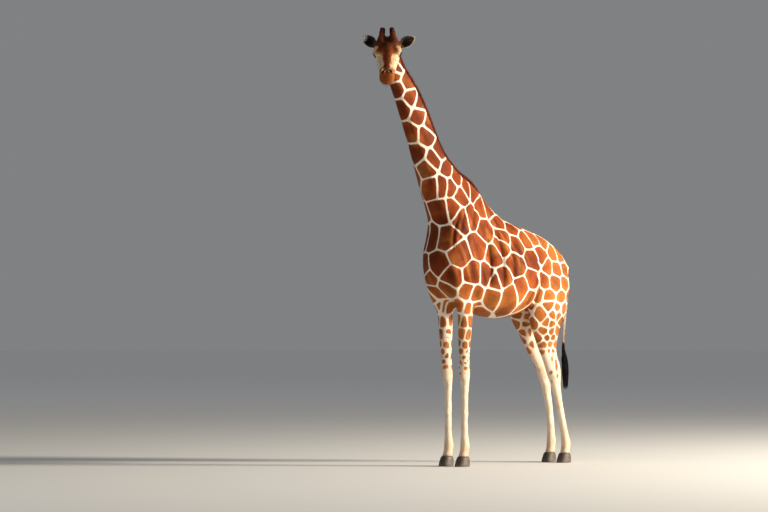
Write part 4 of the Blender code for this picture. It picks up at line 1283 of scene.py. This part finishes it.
# %% [markdown]
# ## Horns
#
# The ossicones are bone under skin and hair, worn dark and knobbly at the tips. They stay pieces of
# their own, poured again so that the facets go, with their roots drawn in under the skin of the brow.

# %% A solid poured again as a smooth surface
def poured_copy(name, grid, passes):
    """A finer, rounder mesh of one solid."""
    made = with_modifier(welded(name), "REMESH", mode="VOXEL", voxel_size=grid)
    made.name = name
    made.materials.clear()
    move_points(made, evened(points_of(made), edges_of(made), passes))
    return made


# %% The two ossicones
for side, name in zip((1, -1), HORNS):
    mesh = poured_copy(name, 0.0032, 6)
    horn = points_of(mesh)
    low = horn[horn[:, 2] < horn[:, 2].min() + 0.02].mean(0)
    high = horn[horn[:, 2] > horn[:, 2].max() - 0.012].mean(0)
    axis = unit(high - low)
    rise_of_horn = (horn - low) @ axis
    share = rise_of_horn / rise_of_horn.max()
    centre_line = low + np.outer(rise_of_horn, axis)
    rooted = ramp(-share, -0.50, 0.0)
    waist = 1 - 0.08 * falloff(share - 0.62, 0.22) + 0.04 * falloff(share - 0.93, 0.10) - 0.30 * rooted
    horn = centre_line + (horn - centre_line) * waist[:, None] - np.outer(0.014 * rooted, axis)
    move_points(mesh, horn)
    knobs = 0.0016 * rough(horn, 0.010, 3 + side) + 0.0026 * rough(horn, 0.026, 5 + side) * (1 - rooted)
    move_points(mesh, horn + normals_of(mesh) * knobs[:, None])
    facing_in = -side * (normals_of(mesh) @ head_side)
    dark = np.clip(ramp(facing_in, -0.15, 0.45) * ramp(share, 0.05, 0.5) + ramp(share, 0.80, 0.94), 0, 1)
    colours = paint(RUST * 0.8, (DEEP_RUST, ramp(share, 0.2, 0.8)), (NEAR_BLACK, 0.94 * dark))
    mesh.materials.append(skin_object.data.materials[0])
    keep_values(mesh, **plain_looks(colours))
    unwrap(add_piece("horn_" + name, mesh, name, name))
    on = surface_of(mesh)
    upward = np.tile(axis, (len(horn), 1))
    upward -= on["facing"] * dot(upward, on["facing"])[:, None]
    grow("coat_" + name, name, on, ramp(share, 0.05, 0.25), 2600, 0.010 + 0.003 * ramp(share, 0.6, 0.9),
         np.full(len(horn), 0.12), upward, plain_looks(colours))

# %% [markdown]
# ## Eyes
#
# A giraffe's eye is nearly black in the shade and chestnut where the light gets in, with a pupil that
# lies level. It is a ball with a wet coat over it. The bright spot comes from the lamp, so none is
# painted on.

# %% The eyeballs
PUPIL = (0.46, 0.25)                    # half its width and height, as a share of the radius
IRIS = 0.62                             # how far the iris reaches from the middle, in radians
EYE_WHITE, PUPIL_BLACK = tint(52, 40, 34), tint(7, 6, 8)    # a giraffe's eye has hardly any white
IRIS_BROWN, IRIS_RIM = tint(40, 20, 11), tint(34, 18, 10)

wet, tree, shader = new_material("wet_eye")
kept = add_node(tree, "Attribute", attribute_name="patch_colour").outputs["Color"]
threads = span(tree, noisy(tree, 900.0, 3.0, Roughness=0.7), to_low=0.70, to_high=1.30)
fill(tree, shader, {"Base Color": scaled(tree, kept, threads), "Roughness": 0.12, "Coat Weight": 1.0,
                    "Coat Roughness": 0.02})

for side, name, middle in zip((1, -1), EYES, eye_middles):
    builder = bmesh.new()
    bmesh.ops.create_icosphere(builder, subdivisions=5, radius=EYE_RADIUS)
    mesh = mesh_from(builder, "ball_" + name)
    ball = points_of(mesh)
    out = eye_axes(side)[2]
    level = unit(np.cross((0.0, 0.0, 1.0), out))
    upright = np.cross(out, level)
    across, upward, outward_share = (ball @ axis / EYE_RADIUS for axis in (level, upright, out))
    bulge = ramp(outward_share, math.cos(IRIS * 1.15), 1.0)
    off = np.hypot(across, upward)
    iris = ramp(-off, -math.sin(IRIS) * 1.18, -math.sin(IRIS) * 1.02) * (outward_share > 0)
    pupil = ramp(-np.hypot(across / PUPIL[0], upward / PUPIL[1]), -1.10, -0.92)
    colours = paint(EYE_WHITE, (IRIS_BROWN, iris), (IRIS_RIM, iris * ramp(off, 0.40, 0.62)),
                    (PUPIL_BLACK, iris * pupil))
    move_points(mesh, middle + ball * (1 + 0.012 * bulge)[:, None])
    keep_values(mesh, patch_colour=colours)
    mesh.materials.append(wet)
    add_piece("ball_" + name, mesh, name, name)

# %% [markdown]
# ## Hoofs
#
# A hoof is two claws of horn that grow down from the coronet. Each season's growth leaves a low ring,
# so the rings are cut into the shape, and the material adds the fine grain of the horn down the wall.

# %% Horn of the hoofs
horny, tree, shader = new_material("hoof_horn")
place = add_node(tree, "TexCoord").outputs["Object"]
down = add_node(tree, "Mapping", {"Vector": place, "Scale": (1.0, 1.0, 0.10)}).outputs[0]
grain, patches = noisy(tree, 260.0, 5.0, down), noisy(tree, 22.0, 5.0, place)
height = add_node(tree, "SeparateXYZ", {0: place}).outputs["Z"]
dirt = counted(tree, "MULTIPLY", span(tree, height, 0.0, 0.05, 0.75, 0.0), patches)
horn_colour = mixed(tree, grain, tint(44, 35, 30), tint(92, 76, 64))
scored = add_node(tree, "Bump", {"Height": grain, "Strength": 0.4, "Distance": 0.0012}).outputs[0]
fill(tree, shader, {"Base Color": mixed(tree, dirt, horn_colour, tint(140, 120, 98)), "Normal": scored,
                    "Roughness": span(tree, patches, to_low=0.38, to_high=0.70)})

RING_STEP = 0.0105                      # between one season's ring and the next
CORONET = (0.088, 0.104)                # heights between which the hoof draws in under the skin
for leg in LEGS:
    name = leg.replace("leg", "hoof")
    mesh = poured_copy(name, 0.0048, 4)
    hoof = points_of(mesh)
    wall = 1 - np.abs(normals_of(mesh)[:, 2])
    slant = hoof[:, 2] + 0.12 * hoof[:, 1]
    rings = 0.0006 * np.sin(2 * np.pi * slant / RING_STEP + 1.5 * rough(hoof, 0.05, 2)) * ramp(wall, 0.4, 0.9)
    rings *= ramp(hoof[:, 2], 0.006, 0.020)
    chips = -0.0022 * np.maximum(rough(hoof, 0.012, 9), 0) * falloff(hoof[:, 2], 0.012) * ramp(wall, 0.3, 0.8)
    hoof = hoof + normals_of(mesh) * (rings + chips)[:, None]
    middle = (hoof.min(0) + hoof.max(0)) / 2
    top = ramp(hoof[:, 2], *CORONET)
    hoof[:, :2] = middle[:2] + (hoof[:, :2] - middle[:2]) * (1 - 0.16 * top)[:, None]
    hoof[:, 2] = np.maximum(hoof[:, 2], 0.0) + 0.010 * top
    move_points(mesh, hoof)
    mesh.materials.append(horny)
    add_piece("horn_" + name, mesh, name, name)
    print("horn of", name, len(mesh.polygons), "faces")

# %% [markdown]
# ## Mane
#
# The mane is a brush of stiff bristles on the crest of the neck, cut short by the animal's own rubbing.
# Its solid gives the outline, so each bristle starts on the skin below the solid's outer edge and ends
# on that edge. It could be one furry block, but from behind the parting and the uneven tips would be lost.

# %% The place of a root on the unwrap
skin_tree = tree_of(skin)
skin_map = read(skin.uv_layers["OFBake"].data, "uv", 2)


def map_place(points):
    """Where places near the skin fall on its unwrap."""
    faces = [skin.polygons[skin_tree.find_nearest(Vector(point))[2]] for point in points]
    return np.array([skin_map[list(face.loop_indices)].mean(0) for face in faces])

# %% Roots and tips of the bristles
BRISTLES = 8900
PARTING = 0.0075                        # about how far the roots spread to each side of the crest
mane_low, mane_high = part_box("mane")
withers = np.array([0.0, mane_high.y, mane_low.z])
nape = np.array([0.0, mane_low.y, mane_high.z])
crest = unit(nape - withers)
off_neck = np.array([0.0, crest[2], -crest[1]])
mane_tree = tree_of(solids["mane"].data)
share = (np.arange(BRISTLES) + chance.random(BRISTLES)) / BRISTLES
aside_root = chance.normal(0.0, PARTING, BRISTLES).clip(-0.018, 0.018)
roots, tips = [], []
for spot, sideways in zip(share, aside_root):
    start = withers + (nape - withers) * (spot * 1.02 - 0.01) + off_neck * 0.8
    edge_hit = mane_tree.ray_cast(Vector(start), Vector(-off_neck))[0]
    start[0] = sideways
    skin_hit = skin_tree.ray_cast(Vector(start), Vector(-off_neck))[0]
    if edge_hit is not None and skin_hit is not None:
        roots.append(np.array(skin_hit) - off_neck * 0.003)
        tips.append(np.array([sideways, edge_hit.y, edge_hit.z]))

# Up the nape the brush goes on, lower and lower, to the crown between the horns.
NAPE_BRISTLES = 1900
crown = in_room((0.0, 0.0, -0.02))
for spot, sideways in zip(chance.random(NAPE_BRISTLES), chance.normal(0.0, 0.0085, NAPE_BRISTLES)):
    turn = math.radians(-38 + 190 * spot)              # from above the crown round to the back of the neck
    spoke = np.array([0.0, math.sin(turn), math.cos(turn)])
    start = crown + spoke * 0.5 + (sideways, 0.0, 0.0)
    hit = skin_tree.ray_cast(Vector(start), Vector(-spoke))[0]
    if hit is not None and hit.z > nape[2] - 0.10:
        roots.append(np.array(hit) - spoke * 0.002)
        tips.append(np.array(hit) + spoke * (0.010 + 0.052 * spot ** 2))
roots, tips = np.array(roots), np.array(tips)

# %% The mane
MANE_DARK, MANE_LIGHT = tint(66, 24, 18), tint(112, 46, 26)
count = len(roots)
reach_of = np.linalg.norm(tips - roots, axis=1) * (1 - 0.22 * chance.random(count) ** 2)
sway = np.zeros((count, 3))
sway[:, 0] = (roots[:, 0] - np.median(roots[:, 0])) * 0.9 + chance.normal(0.0, 0.006, count)
lean = -crest * (0.10 + chance.normal(0.0, 0.07, count))[:, None]
heading = unit(unit(tips - roots) + lean + sway / np.maximum(reach_of, 0.01)[:, None] * 0.5)
along_bristle = np.linspace(0, 1, 5)
middles = roots[:, None] + heading[:, None] * (reach_of[:, None] * along_bristle)[:, :, None]
middles = middles - crest * (0.006 * along_bristle ** 2)[None, :, None]
turning = chance.uniform(0, np.pi, count)
across = np.cos(turning)[:, None] * (1.0, 0.0, 0.0) + np.sin(turning)[:, None] * crest
widths = 0.0018 * np.array([1.0, 0.9, 0.65])[None] * chance.uniform(0.7, 1.3, count)[:, None]
colours = MANE_DARK + (MANE_LIGHT - MANE_DARK) * chance.random(count)[:, None]
mane = strands("mane_bristles", "mane", middles, across, widths, 0.8, map_place(roots),
               plain_looks(colours, chance.normal(0.0, 0.12, count)))
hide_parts("mane")
print("bristles:", count, "triangles:", len(mane.data.polygons))

# %% [markdown]
# ## Tail tuft, lashes and whiskers
#
# Long hairs hang in waves. Each is one closed strand with several rings, bent by a slow wave that grows
# towards the tip. The tuft's roots climb the end of the tail, so no joint shows where it starts.

# %% The tail's tuft
TUFT_STRANDS = 1300
tuft_low, tuft_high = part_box("tail_tuft")
tuft_points = points_of(solids["tail_tuft"].data)
tail_points = points_of(skin)[belongs(["tail"], part_of)]


def middle_at(cloud, height, near=0.02):
    """The middle of a cloud of points at some height, as x and y."""
    level = cloud[np.abs(cloud[:, 2] - height) < near]
    return ((level.min(0) + level.max(0)) / 2)[:2] if len(level) else cloud[:, :2].mean(0)


STATIONS = 9
fall = np.linspace(0, 1, STATIONS)
start_height = tuft_high.z + chance.uniform(-0.05, 0.13, TUFT_STRANDS)     # they root up the tail's end
end_height = tuft_low.z + 0.34 * chance.random(TUFT_STRANDS) ** 1.5
heights = start_height[:, None] * (1 - fall) + end_height[:, None] * fall
levels = np.linspace(tuft_low.z, tuft_high.z + 0.16, 40)
line = np.array([middle_at(tuft_points if level < tuft_high.z - 0.01 else tail_points, level, 0.05)
                 for level in levels])
angle = chance.uniform(0, 2 * np.pi, TUFT_STRANDS)
# How far the hairs stand out from the middle of the tail, at heights from the tuft's end to its roots.
SPREAD_AT = [(tuft_low.z, 0.026), (tuft_low.z + 0.12, 0.033), (1.05, 0.041), (1.20, 0.036),
             (tuft_high.z, 0.019), (tuft_high.z + 0.16, 0.013)]
spread_of = np.interp(heights, *zip(*SPREAD_AT))
spread_of *= (0.35 + 0.65 * chance.random(TUFT_STRANDS) ** 0.5)[:, None]
wave = 0.009 * np.sin(fall[None] * chance.uniform(4, 9, TUFT_STRANDS)[:, None]
                      + chance.uniform(0, 6.28, TUFT_STRANDS)[:, None]) * fall[None]
middles = np.stack([np.interp(heights, levels, line[:, 0]) + np.cos(angle)[:, None] * spread_of + wave,
                    np.interp(heights, levels, line[:, 1]) + np.sin(angle)[:, None] * spread_of - wave,
                    heights], axis=2)
across = np.column_stack([-np.sin(angle), np.cos(angle), np.zeros(TUFT_STRANDS)])
widths = 0.0011 * np.linspace(1.0, 0.7, STATIONS - 2)[None] * chance.uniform(0.7, 1.4, TUFT_STRANDS)[:, None]
colours = np.tile(tint(26, 20, 18), (TUFT_STRANDS, 1)) * chance.uniform(0.6, 1.8, TUFT_STRANDS)[:, None]
tuft = strands("tail_hair", "tail_tuft", middles, across, widths, 0.8, map_place(middles[:, 0]),
               plain_looks(colours))
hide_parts("tail_tuft")
print("tail hairs:", len(tuft.data.polygons), "triangles")

# %% Lashes
LASHES = 70
fringe = np.linspace(0, 1, 7)


def fine_widths(root_width, count):
    """Half the width of fine hairs at their rings, narrowing to half that of the root."""
    return np.tile(root_width * np.linspace(1.0, 0.5, len(fringe) - 2), (count, 1))


for side, name, middle in zip((1, -1), EYES, eye_middles):
    corner, lid_up, out = eye_axes(side)
    turn = np.concatenate([np.linspace(0.10, 0.90, LASHES), -np.linspace(0.25, 0.75, LASHES // 4)]) * np.pi
    lashes = len(turn)
    upper = turn > 0
    reach_up = np.where(upper, ALMOND[1], ALMOND[2])
    across_eye = np.cos(turn) * ALMOND[0] * 1.08
    up_eye = np.sin(turn) * reach_up * 1.12
    ball = np.sqrt(np.maximum((EYE_RADIUS + LID) ** 2 - across_eye ** 2 - up_eye ** 2, 0))
    root = (middle + across_eye[:, None] * corner + up_eye[:, None] * lid_up + (ball - 0.0015)[:, None] * out)
    heading = unit(out[None] + corner * (across_eye * 26)[:, None] + lid_up * (up_eye * 14)[:, None]
                   + chance.normal(0.0, 0.08, (lashes, 3)))
    size = np.where(upper, 0.028, 0.009) * chance.uniform(0.8, 1.15, lashes)
    droop = np.where(upper, -0.010, -0.002)
    middles = root[:, None] + heading[:, None] * (size[:, None] * fringe)[:, :, None]
    middles[:, :, 2] += droop[:, None] * fringe ** 2
    strands("lashes_" + name, name, middles, np.tile(corner, (lashes, 1)), fine_widths(0.00055, lashes), 0.9,
            map_place(root), plain_looks(np.tile(tint(16, 12, 12), (lashes, 1))))

# %% Whiskers on the lips and chin
WHISKERS = 150
lips = on_head * ramp(along, 0.52, 0.60) * ramp(-above, 0.02, 0.06)
chosen, share = choose_roots(skin_surface, lips, WHISKERS)
root = (points[skin_surface["triangles"][chosen]] * share[:, :, None]).sum(1)
out = unit((facing[skin_surface["triangles"][chosen]] * share[:, :, None]).sum(1))
heading = unit(out + 0.5 * head_along + chance.normal(0.0, 0.15, (WHISKERS, 3)))
size = chance.uniform(0.012, 0.034, WHISKERS)
middles = root[:, None] + heading[:, None] * (size[:, None] * fringe)[:, :, None]
middles[:, :, 2] -= 0.008 * fringe ** 2
strands("whiskers", "head", middles, unit(np.cross(heading, (0.0, 0.0, 1.0))),
        fine_widths(0.00032, WHISKERS), 0.9, map_place(root),
        plain_looks(np.tile(tint(70, 50, 40), (WHISKERS, 1))))
